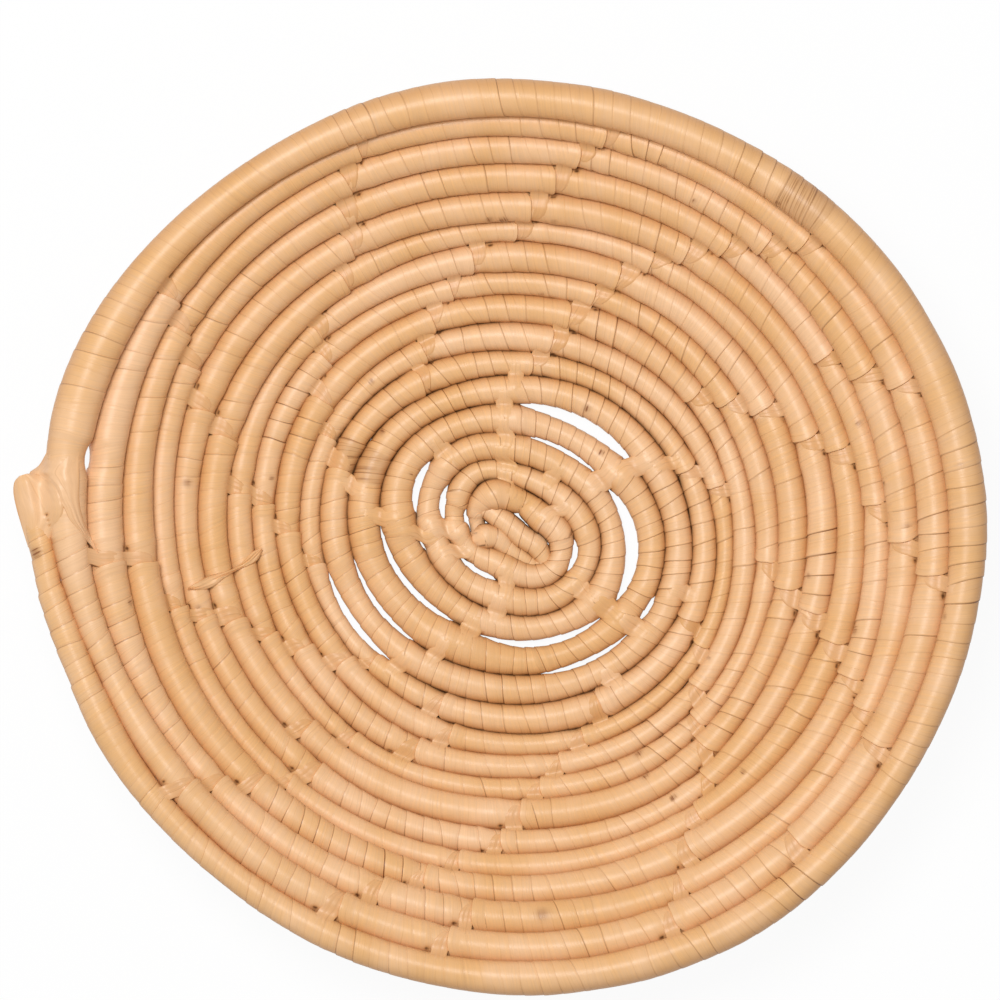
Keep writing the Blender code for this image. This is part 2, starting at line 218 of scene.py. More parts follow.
@dataclass(frozen=True)
class HandWork:
    """What the maker's hand did to the plain spiral.

    The wander and the rim's shifts are how far the edges of the rounds lie from the plain spiral. Most of
    them were worked out from radii read off the photograph. The other places were read one by one.
    """

    settling: tuple[float, float] = (1.08, 1.2)
    rim_smoothing: float = 4.0
    round_smoothing: float = 9.0
    slit_bluntness: float = 0.6
    wander_start: float = 1 + 2 / 12
    wander_step: float = 1 / 12
    wander: tuple[tuple[float, ...], ...] = (
        (-0.3, 0.7, 0.7, -1.3, 0.3, 0.3, -1.6, -2.6, -2.6, 0.6),
        (3.0, -1.0, 0.7, 2.3, 1.0, -1.3, 0.3, 0.7, 1.0, 0.0, 0.7, 0.0),
        (-2.0, -0.3, -1.0, -0.7, 1.0, 0.7, -1.0, -0.3, 2.3, 0.7, 1.0, 2.0),
        (-2.6, -1.3, -0.3, 0.0, -1.0, 0.3, 0.7, 0.3, 2.0, -0.7, -0.3, 2.3),
        (-1.6, -0.7, 1.0, 0.0, 0.3, -2.3, 0.0, 1.0, 0.7, -2.0, -1.0, 0.3),
        (0.3, -1.0, 0.7, 0.0, 2.3, -2.6, -1.0, 1.6, 2.0, 1.3, -0.3, 0.0),
        (0.3, -1.3, 0.3, -2.0, 1.6, -2.0, -2.0, 0.3, 1.0, -0.7, -0.3, 2.0),
        (-0.7, -0.3, 1.3, -1.3, 0.7, 0.3, -1.6, -0.7, 1.3, -0.3, 0.3, 1.6),
        (-0.3, -1.0, 0.7, -0.7, 1.0, 0.3, -1.6, 0.7, -0.7, -1.0, -0.7, 0.0),
        (0.0, -0.7, 0.3, 0.7, 1.6, 1.6, 0.7, 0.3, -1.0, -2.9, -1.3, 1.0),
        (0.7, 1.0, 0.3, -0.7, -1.0, 1.0, 0.7, 1.0, 0.7, -2.0, -2.6, 1.0),
        (0.7, 0.7, 0.0, -0.7, -1.0, 0.7, 1.6, 0.3, -0.3, -1.0, -0.7, 1.6),
        (0.3, -0.7, -1.0, 0.0, -0.7, 0.3, 0.7, -0.3, 0.0, -0.3, 1.0, 0.7),
        (-1.6, -0.3, 1.0, 1.0, 0.0, -1.0, 0.0, 0.3, 0.3, 0.0, 1.6, 0.0),
        (-1.3, 0.0, 0.7, 0.3, 0.0, -1.0, -0.7, -0.7, 0.7, 0.3, 2.6, -1.6),
        (-1.8, -1.0, -1.0, -1.0, -1.1, -2.0, -3.2, -3.9, -1.2, -1.6, -2.6, -1.0),
    )
    rim_turns: tuple[float, ...] = (
        0.0, 0.017, 0.028, 0.042, 0.067, 0.083, 0.104, 0.13, 0.153, 0.18, 0.25, 0.333, 0.358, 0.383, 0.42,
        0.46, 0.483, 0.508, 0.542, 0.583, 0.625, 0.65, 0.67, 0.7, 0.733, 0.75, 0.77, 0.8, 0.825, 0.86,
        0.9, 0.95, 0.972, 0.983, 1.0, 1.014, 1.028, 1.042, 1.056, 1.083,
    )
    rim_shifts: tuple[float, ...] = (
        0.9, -1.2, -2.8, -3.6, -2.8, -1.8, -2.3, -2.4, -1.9, -0.4, 1.2, 1.4, 0.3, -0.9, -1.6,
        -0.6, 0.3, 1.7, 1.9, 1.4, 0.6, -0.6, -1.3, -2.0, -2.2, -2.3, -1.8, -2.7, -3.8, -3.7,
        -0.6, 4.2, 4.4, 2.5, 1.7, 0.0, -1.6, -2.6, -3.1, -2.0,
    )
    slits: tuple[Slit, ...] = (
        Slit(12.582, 12.750, 4.3),
        Slit(13.600, 13.740, 1.8),
        Slit(13.405, 13.578, 4.6),
        Slit(12.400, 12.437, 1.9),
        Slit(13.188, 13.382, 2.6),
        Slit(12.275, 12.388, 1.9),
        Slit(12.980, 13.156, 2.8),
        Slit(12.018, 12.132, 2.3),
        Slit(11.025, 11.127, 2.5),
        Slit(13.882, 13.975, 2.9),
        Slit(14.896, 14.975, 2.6),
        Slit(13.996, 14.034, 1.6),
        Slit(15.920, 15.990, 2.6),
        Slit(16.672, 16.742, 2.0),
        Slit(15.060, 15.192, 2.3),
        Slit(15.395, 15.500, 2.2),
        Slit(1.9645, 1.979, 3.4),
    )
    stitch_angles: tuple[tuple[float, ...], ...] = (
        (20.5, 44.5, 76.5, 111.5, 144.5, 216.5, 243.5, 259.5, 291.5, 311.5, 329, 353.5),
        (24, 48, 79.5, 114.5, 147.5, 183, 219, 248, 262.5, 294.5, 332.5, 358),
        (3.5, 29, 52.5, 82.5, 117, 151.5, 183.5, 223, 254, 298, 336),
        (13.5, 57.5, 86, 118.5, 157, 191, 226.5, 259, 302, 340),
        (17, 62, 88.5, 123, 160, 194, 228.5, 266, 307, 344),
        (25.5, 66.5, 97.5, 133, 170, 195.5, 221.5, 269.5, 310.5, 347),
        (30, 70, 103.5, 136, 171.5, 201, 230, 274, 313, 352),
        (36, 74, 109.5, 143.5, 178, 206.5, 243, 279, 318),
        (12, 77.5, 114.5, 151, 214.5, 250, 286.5, 327),
        (19, 82, 120, 157, 187, 220, 244, 294.5, 332),
        (25, 90, 163, 228, 303.5, 341),
        (29.5, 95, 172, 236, 322),
        (33, 96, 131, 179, 244, 321),
        (58, 98, 176, 256, 320),
        (30, 100, 195, 260),
    )
    bold_seams: tuple[tuple[float, float], ...] = (
        (7.33, 7.36), (0.350, 0.362), (1.492, 1.506), (2.03, 2.05), (7.897, 7.936), (3.120, 3.210),
        (5.472, 5.505), (0.468, 0.478), (1.688, 1.703), (8.664, 8.694), (7.655, 7.667), (8.335, 8.345),
    )
    clear_seams: tuple[tuple[float, float], ...] = (
        (0.0, 0.06), (0.523, 0.538), (0.628, 0.66), (0.803, 0.8125), (1.0, 1.05), (1.14, 1.168),
        (1.315, 1.36), (2.03, 2.09), (2.16, 2.18), (2.19, 2.23), (2.655, 2.67), (3.21, 3.263),
        (3.42, 3.46), (4.655, 4.675), (5.15, 5.24), (6.44, 6.50), (7.60, 7.66), (8.10, 8.20),
    )
    calm_seams: tuple[tuple[float, float], ...] = (
        (0.365, 0.405), (0.54, 0.625), (0.815, 0.905), (1.055, 1.11), (1.185, 1.215), (1.63, 1.685),
        (1.815, 1.89), (3.0, 3.08), (4.13, 4.20), (5.97, 6.03), (6.058, 6.115), (6.15, 6.25),
    )
    brown_streaks: tuple[tuple[float, float], ...] = (
        (0.628, 0.645), (11.915, 11.945), (10.917, 10.942),
    )
    dark_spots: tuple[tuple[float, float, float], ...] = (
        (0.0055, 50.0, 1.4), (0.47, 120.0, 0.7), (0.525, 69.0, 0.5), (0.644, 117.0, 0.7),
        (1.689, 130.0, 0.9), (2.028, 119.0, 0.8), (2.261, 75.0, 1.5), (2.503, 50.0, 0.9),
        (2.522, 132.0, 0.7), (2.672, 94.0, 0.5), (3.456, 122.0, 1.0), (3.55, 60.0, 0.7),
        (4.372, 94.0, 0.6), (4.731, 122.0, 0.7), (4.756, 130.0, 1.1), (4.763, 122.0, 0.9),
        (4.975, 72.0, 1.0), (5.036, 60.0, 0.7), (5.336, 95.0, 0.8), (5.478, 114.0, 0.7),
        (5.681, 125.0, 0.8), (6.328, 130.0, 0.9), (6.975, 138.0, 0.8), (7.331, 126.0, 1.1),
        (7.733, 126.0, 0.5), (7.964, 109.0, 0.6), (8.41, 120.0, 0.6), (9.87, 80.0, 0.6),
        (10.947, 128.0, 1.0), (11.669, 111.0, 0.8), (11.897, 45.0, 0.7), (12.62, 70.0, 0.6),
        (12.917, 124.0, 0.4),
    )
    # Grooves that take the darkest painted shade, where the rounds barely touch.
    shaded_grooves: tuple[tuple[float, float], ...] = (
        (9.764, 9.808), (10.18, 10.30), (10.847, 10.93), (11.153, 11.333), (11.347, 11.444), (11.5, 11.739),
        (14.83, 14.895), (14.55, 14.64), (15.55, 15.64),
    )


class CoilPath:
    """The bundle's course: centres, radii and directions at a close row of places from rim to centre."""

    steps_a_turn = 360
    touch_rounds = 4

    def __init__(self, plan: SpiralPlan, hand: HandWork) -> None:
        """Work out the course.

        Args:
            plan: the coil's sizes.
            hand: how the hand-made coil differs from them.
        """
        self.plan = plan
        self.hand = hand
        count = int(plan.turns * self.steps_a_turn)
        turns = np.arange(count + 1) / self.steps_a_turn
        radius, distance, height = self.sections(turns)
        angle = np.radians(plan.start_angle + 360 * turns)
        centres = np.stack([distance * np.cos(angle), distance * np.sin(angle), height], axis=1)
        slopes = self.slopes(turns)
        hook_places = plan.turns + plan.hook_step * np.arange(len(plan.hook) + 1)
        start = centres[[-1 - int(plan.hook_step * self.steps_a_turn), -1]]
        hook = self.carried_on(start, plan.hook, plan.hook_radii, hook_places)
        joint = int(plan.end_joint)
        end_angles = np.degrees([math.atan2(y, x) % FULL_TURN for x, y in plan.end])
        end_places = np.concatenate([[plan.end_joint], end_angles - plan.start_angle]) / 360.0
        before = centres[[2 * joint, joint]]
        end = [row[::-1] for row in self.carried_on(before, plan.end, plan.end_radii, end_places)]
        self.turns = np.concatenate([end[0], turns[joint:], hook[0]])
        self.centres = np.concatenate([end[1], centres[joint:], hook[1]])
        self.radii = np.concatenate([end[2], radius[joint:], hook[2]])
        end_slopes = np.full(len(end[0]), slopes[joint])
        slopes = np.concatenate([end_slopes, slopes[joint:], np.zeros(len(hook[0]))])
        self.ease_apart()
        on_base = self.turns > plan.base_turn
        self.centres[:, 2] = np.where(on_base, plan.cut_share * self.radii, self.centres[:, 2])
        self.centres[:, :2] += plan.middle
        along = np.gradient(self.centres, axis=0)
        along /= np.linalg.norm(along, axis=1)[:, None]
        upright = np.array([0.0, 0.0, 1.0])
        flat_out = np.cross(along, upright)
        flat_out /= np.linalg.norm(flat_out, axis=1)[:, None]
        self.out = np.cos(slopes)[:, None] * flat_out + np.sin(slopes)[:, None] * upright
        self.out /= np.linalg.norm(self.out, axis=1)[:, None]
        self.up = np.cross(self.out, along)
        runs = np.linalg.norm(np.diff(self.centres, axis=0), axis=1)
        self.lengths = np.concatenate([[0.0], np.cumsum(runs)])

    def edges(self, turns: np.ndarray) -> np.ndarray:
        """Distance from the middle to the outer edge at these turns, with the wander of the hand."""
        rows = np.concatenate(self.hand.wander)
        starts = self.hand.wander_start + self.hand.wander_step * np.arange(len(rows))
        places = np.concatenate([self.hand.rim_turns, starts])
        shifts = np.concatenate([self.hand.rim_shifts, rows])
        fine = np.arange(0, places[-1] + 1, 1 / self.steps_a_turn)
        rough = np.interp(fine, places, shifts)
        settled = smooth_step(*self.hand.settling, fine)
        at_rim = smoothed(rough, self.hand.rim_smoothing)
        wander = (1 - settled) * at_rim + settled * smoothed(rough, self.hand.round_smoothing)
        return self.plan.edge(turns) + np.interp(turns, fine, wander)

    def opening(self, turns: np.ndarray) -> np.ndarray:
        """Width of the slits in the groove outside these turns."""
        width = np.zeros(turns.shape)
        for slit in self.hand.slits:
            share = np.clip((turns - slit.first) / (slit.last - slit.first), 0.0, 1.0)
            width = np.maximum(width, slit.width * np.sin(math.pi * share) ** self.hand.slit_bluntness)
        return width

    def sections(self, turns: np.ndarray) -> tuple[np.ndarray, np.ndarray, np.ndarray]:
        """Size and place of each section: it reaches the groove inside it and touches the round outside it.

        Args:
            turns: evenly spaced turns from 0.

        Returns:
            Radius, distance from the middle, and height of each section's centre.
        """
        inner = self.edges(turns + 1)
        width = self.edges(turns) - inner
        rise = self.plan.rise(turns)
        radius = width / 2
        height = rise + self.plan.cut_share * radius
        step = self.steps_a_turn
        for start in range(step, len(turns), step):
            here = slice(start, min(start + step, len(turns)))
            outside = slice(here.start - step, here.stop - step)
            reach = width[here] + radius[outside]
            for _ in range(self.touch_rounds):
                climb = height[outside] - rise[here] - self.plan.cut_share * radius[here]
                radius[here] = (reach**2 + climb**2 - radius[outside] ** 2) / (2 * (reach + radius[outside]))
            height[here] = rise[here] + self.plan.cut_share * radius[here]
        outer_slit, inner_slit = self.opening(turns), self.opening(turns + 1)
        distance = inner + radius + (inner_slit - outer_slit) / 4
        return radius - (outer_slit + inner_slit) / 4, distance, height

    def slopes(self, turns: np.ndarray) -> np.ndarray:
        """Slope of the wall at these turns, in radians."""
        outside = np.minimum(turns, np.abs(turns - 1))
        climb = self.plan.rise(outside) - self.plan.rise(turns + 1)
        return np.arctan2(climb, self.plan.edge(outside) - self.plan.edge(turns + 1))

    @staticmethod
    def carried_on(
        start: np.ndarray, course: tuple, radii: tuple, places: np.ndarray
    ) -> tuple[np.ndarray, np.ndarray, np.ndarray]:
        """Carry the coil on from an end of the spiral through more points.

        Args:
            start: the spiral's centres shortly before its end and at its end.
            course: the points to pass, seen from above.
            radii: the radius at each of them.
            places: the turn at the spiral's end and at each point.

        Returns:
            Turns, centres and radii of the sections after the spiral's end.
        """
        level = start[-1][2]
        knots = [*start, *(np.array([x, y, level]) for x, y in course)]
        centres = curve_through(np.array([*knots, 2 * knots[-1] - knots[-2]]), STEPS_A_KNOT)
        numbers = np.arange(1, STEPS_A_KNOT * len(course) + 1) / STEPS_A_KNOT
        turns = np.interp(numbers, np.arange(len(places)), places)
        return turns, centres, np.interp(numbers, np.arange(len(places)), (radii[0], *radii))

    def ease_apart(self) -> None:
        """Thin the innermost rounds where they would sink into each other by more than a press."""
        first, last = np.searchsorted(self.turns, self.plan.eased_turns)
        centres, radii = self.centres[first:last, :2], self.radii[first:last]
        apart = np.linalg.norm(centres[:, None, :] - centres[None, :, :], axis=2)
        walked = np.concatenate([[0.0], np.cumsum(np.linalg.norm(np.diff(centres, axis=0), axis=1))])
        near = np.abs(walked[:, None] - walked[None, :]) < self.plan.eased_reach
        fit = (apart + self.plan.overlap) / (radii[:, None] + radii[None, :])
        fit[near] = 1.0
        self.radii[first:last] = radii * smoothed(np.minimum(1.0, fit.min(axis=1)), 3.0)

    def envelope(self, places: np.ndarray, first: float, last: float, lift: float) -> np.ndarray:
        """Height of the coil's upper side over these places.

        Args:
            places: points seen from above, one a row.
            first: turn from which the coil counts.
            last: turn up to which it counts.
            lift: how much thicker the coil is taken.

        Returns:
            A height for each place.
        """
        use = (self.turns >= first) & (self.turns <= last)
        centres, radii = self.centres[use], self.radii[use] * LEAF_SHARE + lift
        apart = np.linalg.norm(places[:, None, :] - centres[None, :, :2], axis=2)
        dome = centres[:, 2] + np.sqrt(np.maximum(radii**2 - apart**2, 0.0))
        return (dome - 3.0 * np.maximum(apart - radii, 0.0)).max(axis=1)

    def length_at(self, turn: np.ndarray | float) -> np.ndarray:
        """Length along the coil at these turns."""
        return np.interp(turn, self.turns, self.lengths)

    def turn_at(self, length: np.ndarray | float) -> np.ndarray:
        """Turn at these lengths along the coil."""
        return np.interp(length, self.lengths, self.turns)

    def read(self, values: np.ndarray, length: np.ndarray) -> np.ndarray:
        """Interpolate a row of numbers or vectors at these lengths along the coil."""
        if values.ndim == 1:
            return np.interp(length, self.lengths, values)
        columns = [np.interp(length, self.lengths, column) for column in values.T]
        return np.stack(columns, axis=-1)

    def point(self, length: np.ndarray, angle: np.ndarray, radius: np.ndarray) -> np.ndarray:
        """Points at these lengths, angles round the bundle in degrees, and distances from its centre."""
        turned = np.radians(angle)[..., None]
        direction = np.cos(turned) * self.read(self.out, length) + np.sin(turned) * self.read(self.up, length)
        return self.read(self.centres, length) + radius[..., None] * direction

    def strip_ends(self) -> list[float]:
        """Turns where one leaf strip ends and the next begins, as the construction has them."""
        plan = self.plan
        outer, inner = plan.stations_a_turn
        coarse = [i / outer for i in range(plan.station_change * outer)]
        inner_stations = int((plan.turns - plan.station_change) * inner) + 1
        coarse += [plan.station_change + i / inner for i in range(inner_stations)]
        coarse += [plan.turns + (i + 1) * plan.hook_step for i in range(len(plan.hook))]
        lengths = self.length_at(np.array(coarse))
        ends = [0]
        for i in range(1, len(coarse)):
            if lengths[i] - lengths[ends[-1]] >= plan.strip_length:
                ends.append(i)
        if lengths[-1] - lengths[ends[-1]] < plan.strip_length / 2:
            ends.pop()
        return [coarse[i] for i in ends] + [coarse[-1]]


@dataclass
class Stitch:
    """One stitch, which ties a round to the round inside it.

    It has the groove's turn, its half width, its lean and phase by chance, how far it reaches over the crown
    of the round inside, and its side of the tray, 1 in the bowl and -1 on the back.
    """

    turn: float
    half: float
    lean: float
    phase: float
    reach: float
    side: float = 1.0


@dataclass
class MeshParts:
    """Lists that grow into one mesh: points, faces, and their maps."""

    points: list[np.ndarray] = field(default_factory=list)
    faces: list[np.ndarray] = field(default_factory=list)
    uvs: list[np.ndarray] = field(default_factory=list)
    leaf: list[np.ndarray] = field(default_factory=list)
    count: int = 0

    def add(self, points: np.ndarray, faces: np.ndarray, uvs: np.ndarray, leaf: np.ndarray) -> None:
        """Add a patch.

        Args:
            points: its points, in millimetres.
            faces: quads as rows of four point numbers.
            uvs: one pair for each point, or for each corner of each quad.
            leaf: tint, seam strength, stain and painted shade of each point.
        """
        self.points.append(points)
        self.faces.append(faces + self.count)
        self.uvs.append(uvs if len(uvs) == faces.size else uvs[faces.ravel()])
        self.leaf.append(leaf)
        self.count += len(points)

    def make(self, name: str) -> bpy.types.Object:
        """Make the object.

        Args:
            name: its name.

        Returns:
            The object, at the origin.
        """
        points = np.concatenate(self.points) * MM
        faces = np.concatenate(self.faces)
        mesh = bpy.data.meshes.new(name)
        mesh.vertices.add(len(points))
        mesh.vertices.foreach_set("co", points.ravel())
        mesh.loops.add(faces.size)
        mesh.loops.foreach_set("vertex_index", faces.ravel())
        mesh.polygons.add(len(faces))
        mesh.polygons.foreach_set("loop_start", np.arange(0, faces.size, 4))
        uv_map = mesh.uv_layers.new(name="winding")
        uv_map.data.foreach_set("uv", np.concatenate(self.uvs).ravel())
        leaf = mesh.attributes.new("leaf", "FLOAT_COLOR", "POINT")
        leaf.data.foreach_set("color", np.concatenate(self.leaf).ravel())
        mesh.update(calc_edges=True)
        mesh.validate()
        mesh.shade_smooth()
        mesh.set_sharp_from_angle(angle=math.radians(SHARP_ANGLE))
        obj = bpy.data.objects.new(name, mesh)
        bpy.context.scene.collection.objects.link(obj)
        return obj


def grid_faces(rows: int, columns: int, closed: bool = False) -> np.ndarray:
    """Quads of a grid of points, row after row.

    Args:
        rows: number of rows of points.
        columns: number of points in a row.
        closed: True if each row is a ring.

    Returns:
        Rows of four point numbers.
    """
    here = np.arange(columns if closed else columns - 1)
    after = (here + 1) % columns
    first = (np.arange(rows - 1) * columns)[:, None]
    quads = [first + here, first + after, first + columns + after, first + columns + here]
    return np.stack([quad.ravel() for quad in quads], axis=1)


def cap_faces(columns: int) -> np.ndarray:
    """Quads that fill a ring with an even number of points."""
    near = np.arange(columns // 2 - 1)
    return np.stack([near, columns - 1 - near, columns - 2 - near, near + 1], axis=1)


def tube_faces(rows: int, columns: int) -> np.ndarray:
    """Quads of a closed tube of rings, each with an even number of points, with both ends filled."""
    ends = [cap_faces(columns), cap_faces(columns)[:, ::-1] + (rows - 1) * columns]
    return np.concatenate([grid_faces(rows, columns, closed=True), *ends])


def shell_faces(rows: int, columns: int) -> np.ndarray:
    """Quads of a closed shell: an upper grid, a lower grid numbered after it, and the rim between them."""
    size = rows * columns
    loop = list(range(columns))
    loop += [row * columns + columns - 1 for row in range(1, rows)]
    loop += [(rows - 1) * columns + column for column in range(columns - 2, -1, -1)]
    loop += [row * columns for row in range(rows - 2, 0, -1)]
    ring = np.array(loop)
    after = np.roll(ring, -1)
    upper = grid_faces(rows, columns)
    rim = np.stack([after, ring, ring + size, after + size], axis=1)
    return np.concatenate([upper, upper[:, ::-1] + size, rim])


@dataclass
class Winding:
    """Leaf strips wound on the coil: the wraps' places, and the surface that they make."""

    path: CoilPath
    seed: int = 7
    pitch: float = 6.2
    pitch_spread: float = 0.75
    pitch_limits: tuple[float, float] = (4.4, 8.0)
    tighter_inside: float = 0.24
    tight_turns: tuple[float, float] = (10.5, 12.0)
    end_room: float = 2.0
    spare_wraps: int = 3
    proud_spread: float = 0.08
    lean_spread: float = 0.55
    lump_spacing: float = 16.0
    lump_height: float = 0.16
    tint_spread: float = 0.16
    bold_seam: float = 1.25
    clear_seam: float = 0.75
    calm_share: float = 0.25
    stitch_halves: tuple[float, float] = (2.0, 3.1)
    saddle_halves: tuple[float, float] = (2.6, 3.6)
    stitch_reaches: tuple[float, float] = (14.0, 62.0)
    saddle_reach: float = 24.0
    stitch_lean: float = 0.5
    stitch_span: float = 12.0
    back_shift: float = 0.003
    # Strength of the painted shade in the darkest grooves.
    darkest_groove_shade: float = 1.08
    spot_strength: float = 3.6
    spot_share: float = 1.3
    most_stain: float = 3.0
    streak_edge: float = 0.003
    sides: int = 28
    section: tuple[tuple[float, float, float], ...] = (
        (-0.02, -0.30, -0.12), (0.0, 0.0, 0.02), (0.03, 0.09, 0.03), (0.12, 0.11, 0.03), (0.26, 0.09, 0.03),
        (0.40, 0.05, 0.03), (0.54, 0.01, 0.03), (0.68, -0.03, 0.03), (0.82, -0.08, 0.03), (0.94, -0.13, 0.02),
        (1.02, -0.20, -0.05), (1.02, -0.50, -0.50), (0.5, -0.50, -0.50), (-0.02, -0.50, -0.50),
    )
    # How dark the painted shade in the grooves is, by the groove's turn.
    groove_shade_table: tuple[tuple[float, ...], tuple[float, ...]] = (
        (1.0, 5.0, 8.5, 11.0, 13.0), (0.43, 0.57, 0.74, 1.0, 1.08),
    )
    recess: float = 0.5
    backs_to: float = 10.0
    saddles_from: float = 11.0
    first_wrap_length: float = 2.0

    def __post_init__(self) -> None:
        """Lay out the wraps and the stitches."""
        rng = np.random.default_rng(self.seed)
        total = self.path.lengths[-1]
        starts = [self.first_wrap_length]
        while starts[-1] < total - self.end_room:
            pitch = float(np.clip(rng.normal(self.pitch, self.pitch_spread), *self.pitch_limits))
            tight = float(smooth_step(*self.tight_turns, self.path.turn_at(starts[-1])))
            starts.append(starts[-1] + pitch * (1 - self.tighter_inside * tight))
        self.starts = np.array(starts)
        wraps = len(self.starts) + self.spare_wraps
        self.proud = rng.normal(0.0, self.proud_spread, wraps)
        self.seam_lean = rng.normal(0.0, self.lean_spread, wraps)
        self.lump_places, self.lumps = slow_noise(rng, total, self.lump_spacing)
        self.seams = self.seam_strengths(rng, wraps)
        self.stitches = self.lay_stitches(rng)
        turns = np.array([stitch.turn for stitch in self.stitches])
        self.inner_places = self.path.length_at(turns)
        self.outer_places = self.path.length_at(turns - 1)
        self.sections = self.path.length_at(np.array([s.turn for s in self.stitches if s.side > 0]))
        self.tints = np.clip(rng.normal(0.5, self.tint_spread, len(self.sections) + 1), 0.0, 1.0)

    def seam_strengths(self, rng: np.random.Generator, wraps: int) -> np.ndarray:
        """Choose how plainly each seam between two wraps shows.

        Args:
            rng: source of the random numbers.
            wraps: number of seams.

        Returns:
            Their strengths, mostly between 0 and 1.
        """
        calm_places, calm = slow_noise(rng, self.path.lengths[-1] + 40.0, 38.0)
        lengths = np.interp(np.arange(wraps), np.arange(len(self.starts)), self.starts)
        turns = self.path.turn_at(lengths)
        outer = rng.uniform(0.0, 1.0, wraps) ** 1.3 * 0.9
        outer = outer * (1 - 0.75 * smooth_step(0.05, 0.5, np.interp(lengths, calm_places, calm)))
        inner = rng.uniform(0.45, 1.0, wraps)
        strength = outer + (inner - outer) * smooth_step(8.0, 11.5, turns)
        for first, last in self.path.hand.bold_seams:
            strength[(turns > first) & (turns < last)] = self.bold_seam
        for first, last in self.path.hand.clear_seams:
            chosen = (turns > first) & (turns < last)
            strength[chosen] = np.maximum(strength[chosen], self.clear_seam)
        for first, last in self.path.hand.calm_seams:
            strength[(turns > first) & (turns < last)] *= self.calm_share
        return strength

    def lay_stitches(self, rng: np.random.Generator) -> list[Stitch]:
        """Place the stitches of the front, each with its own width and reach, and those on the back."""
        stitches = []
        for number, row in enumerate(self.path.hand.stitch_angles, 1):
            for angle in row:
                turn = number + ((angle - 180.0) % 360.0) / 360.0
                low = turn > self.saddles_from
                half = rng.uniform(*(self.saddle_halves if low else self.stitch_halves))
                reach = self.saddle_reach if low else rng.uniform(*self.stitch_reaches)
                places = [(turn, 1.0)] + [(turn + self.back_shift, -1.0)] * (turn < self.backs_to)
                for place, side in places:
                    lean, phase = rng.normal(0, self.stitch_lean), rng.uniform()
                    stitches.append(Stitch(place, half, lean, phase, reach, side))
        return sorted(stitches, key=lambda stitch: stitch.turn)

    def near_stitches(self, places: np.ndarray, length: np.ndarray) -> list[tuple[float, Stitch]]:
        """Stitches whose places lie along this stretch of coil, each with its place."""
        low, high = length.min() - self.stitch_span, length.max() + self.stitch_span
        return [(place, stitch) for place, stitch in zip(places, self.stitches) if low < place < high]

    def pressed(self, length: np.ndarray, angle: np.ndarray) -> tuple[np.ndarray, np.ndarray]:
        """Work out how the stitches press the surface in and how it bulges beside them.

        Args:
            length: lengths along the coil.
            angle: angles round the bundle, in degrees.

        Returns:
            The distance to take off the radius, and the painted shade beside the stitches.
        """
        press = np.zeros(length.shape)
        shade = np.zeros(length.shape)
        for place, stitch in self.near_stitches(self.inner_places, length):
            apart = length - place
            around = (stitch.side * angle + 90.0) % 360.0 - 90.0
            over = plateau((-5.0, 35.0), (145.0, 185.0), around)
            if stitch.turn > self.saddles_from:
                near = bell(apart, stitch.half) * (1 - smooth_step(50.0, 120.0, around))
                press += 0.2 * over * near
                # Painted shade: short dark ticks where the groove's line meets a low stitch.
                tick_shade = bell(np.abs(apart) - stitch.half - 0.3, 0.55)
                shade = np.maximum(shade, 0.85 * tick_shade * bell(around - 30.0, 14.0))
                continue
            ramp = smooth_step(-stitch.half - 3.0, stitch.half, apart)
            ramp = ramp * (1 - smooth_step(stitch.half + 0.7, stitch.half + 2.4, apart))
            shoulder = 0.4 * bell(apart + stitch.half + 3.4, 2.2)
            # Painted shade: a dark spot at the cut edge's corner, and a dark pit in the groove before the
            # stitch.
            corner_shade = bell(apart - stitch.half + 0.2, 0.8) * bell(around - 26.0, 15.0)
            pit_shade = self.pit_shade(stitch, apart) * bell(around - 24.0, 15.0)
            press += self.recess * over * (ramp - shoulder)
            # Painted shade along the cut edge.
            edge = 0.62 * over * bell(apart - stitch.half, 0.5)
            shade = np.maximum(shade, np.maximum(edge, np.maximum(corner_shade, pit_shade)))
        for place, stitch in self.near_stitches(self.outer_places, length):
            around = (stitch.side * angle + 90.0) % 360.0 - 90.0
            # Painted shade of the same pit on the outer round's inward side.
            shade = np.maximum(shade, self.pit_shade(stitch, length - place) * bell(around - 156.0, 16.0))
        return press, shade

    def pit_shade(self, stitch: Stitch, apart: np.ndarray) -> np.ndarray:
        """How much painted shade marks the groove beside a stitch, from 0 to 1, at these distances along the
        coil from it.
        """
        if stitch.turn > self.saddles_from:
            return np.zeros(apart.shape)
        return bell(apart + 1.1 * stitch.half + 1.2, 0.7 + stitch.phase)

    def surface(self, length: np.ndarray, angle: np.ndarray, lift: np.ndarray) -> np.ndarray:
        """Points on the wound surface.

        Args:
            length: lengths along the coil.
            angle: angles round the bundle, in degrees.
            lift: height above the surface.

        Returns:
            The points.
        """
        turn = self.path.turn_at(length)
        snug = LEAF_SHARE + 0.025 * smooth_step(9.0, 10.5, turn) + 0.04 * (1 - smooth_step(0.06, 0.1, turn))
        radius = self.path.read(self.path.radii, length) * snug
        radius = radius + self.lump_height * np.interp(length, self.lump_places, self.lumps)
        points = self.path.point(length, angle, radius + lift)
        points[..., 2] = np.maximum(points[..., 2], 0.0)
        return points

    def painted_shade(self, length: np.ndarray, angle: np.ndarray) -> np.ndarray:
        """How much painted shade a place of the surface takes, from 0 to 1: deep in a groove, and on the
        rim's outer and inner sides.
        """
        signed = (angle + 90.0) % 360.0 - 90.0
        around = np.abs((angle + 180.0) % 360.0 - 180.0)
        outward = around < 90.0
        side = np.where(outward, around, 180.0 - around)
        groove = self.path.turn_at(length) + np.where(outward, 0.0, 1.0)
        shade_strength = np.interp(groove, *self.groove_shade_table)
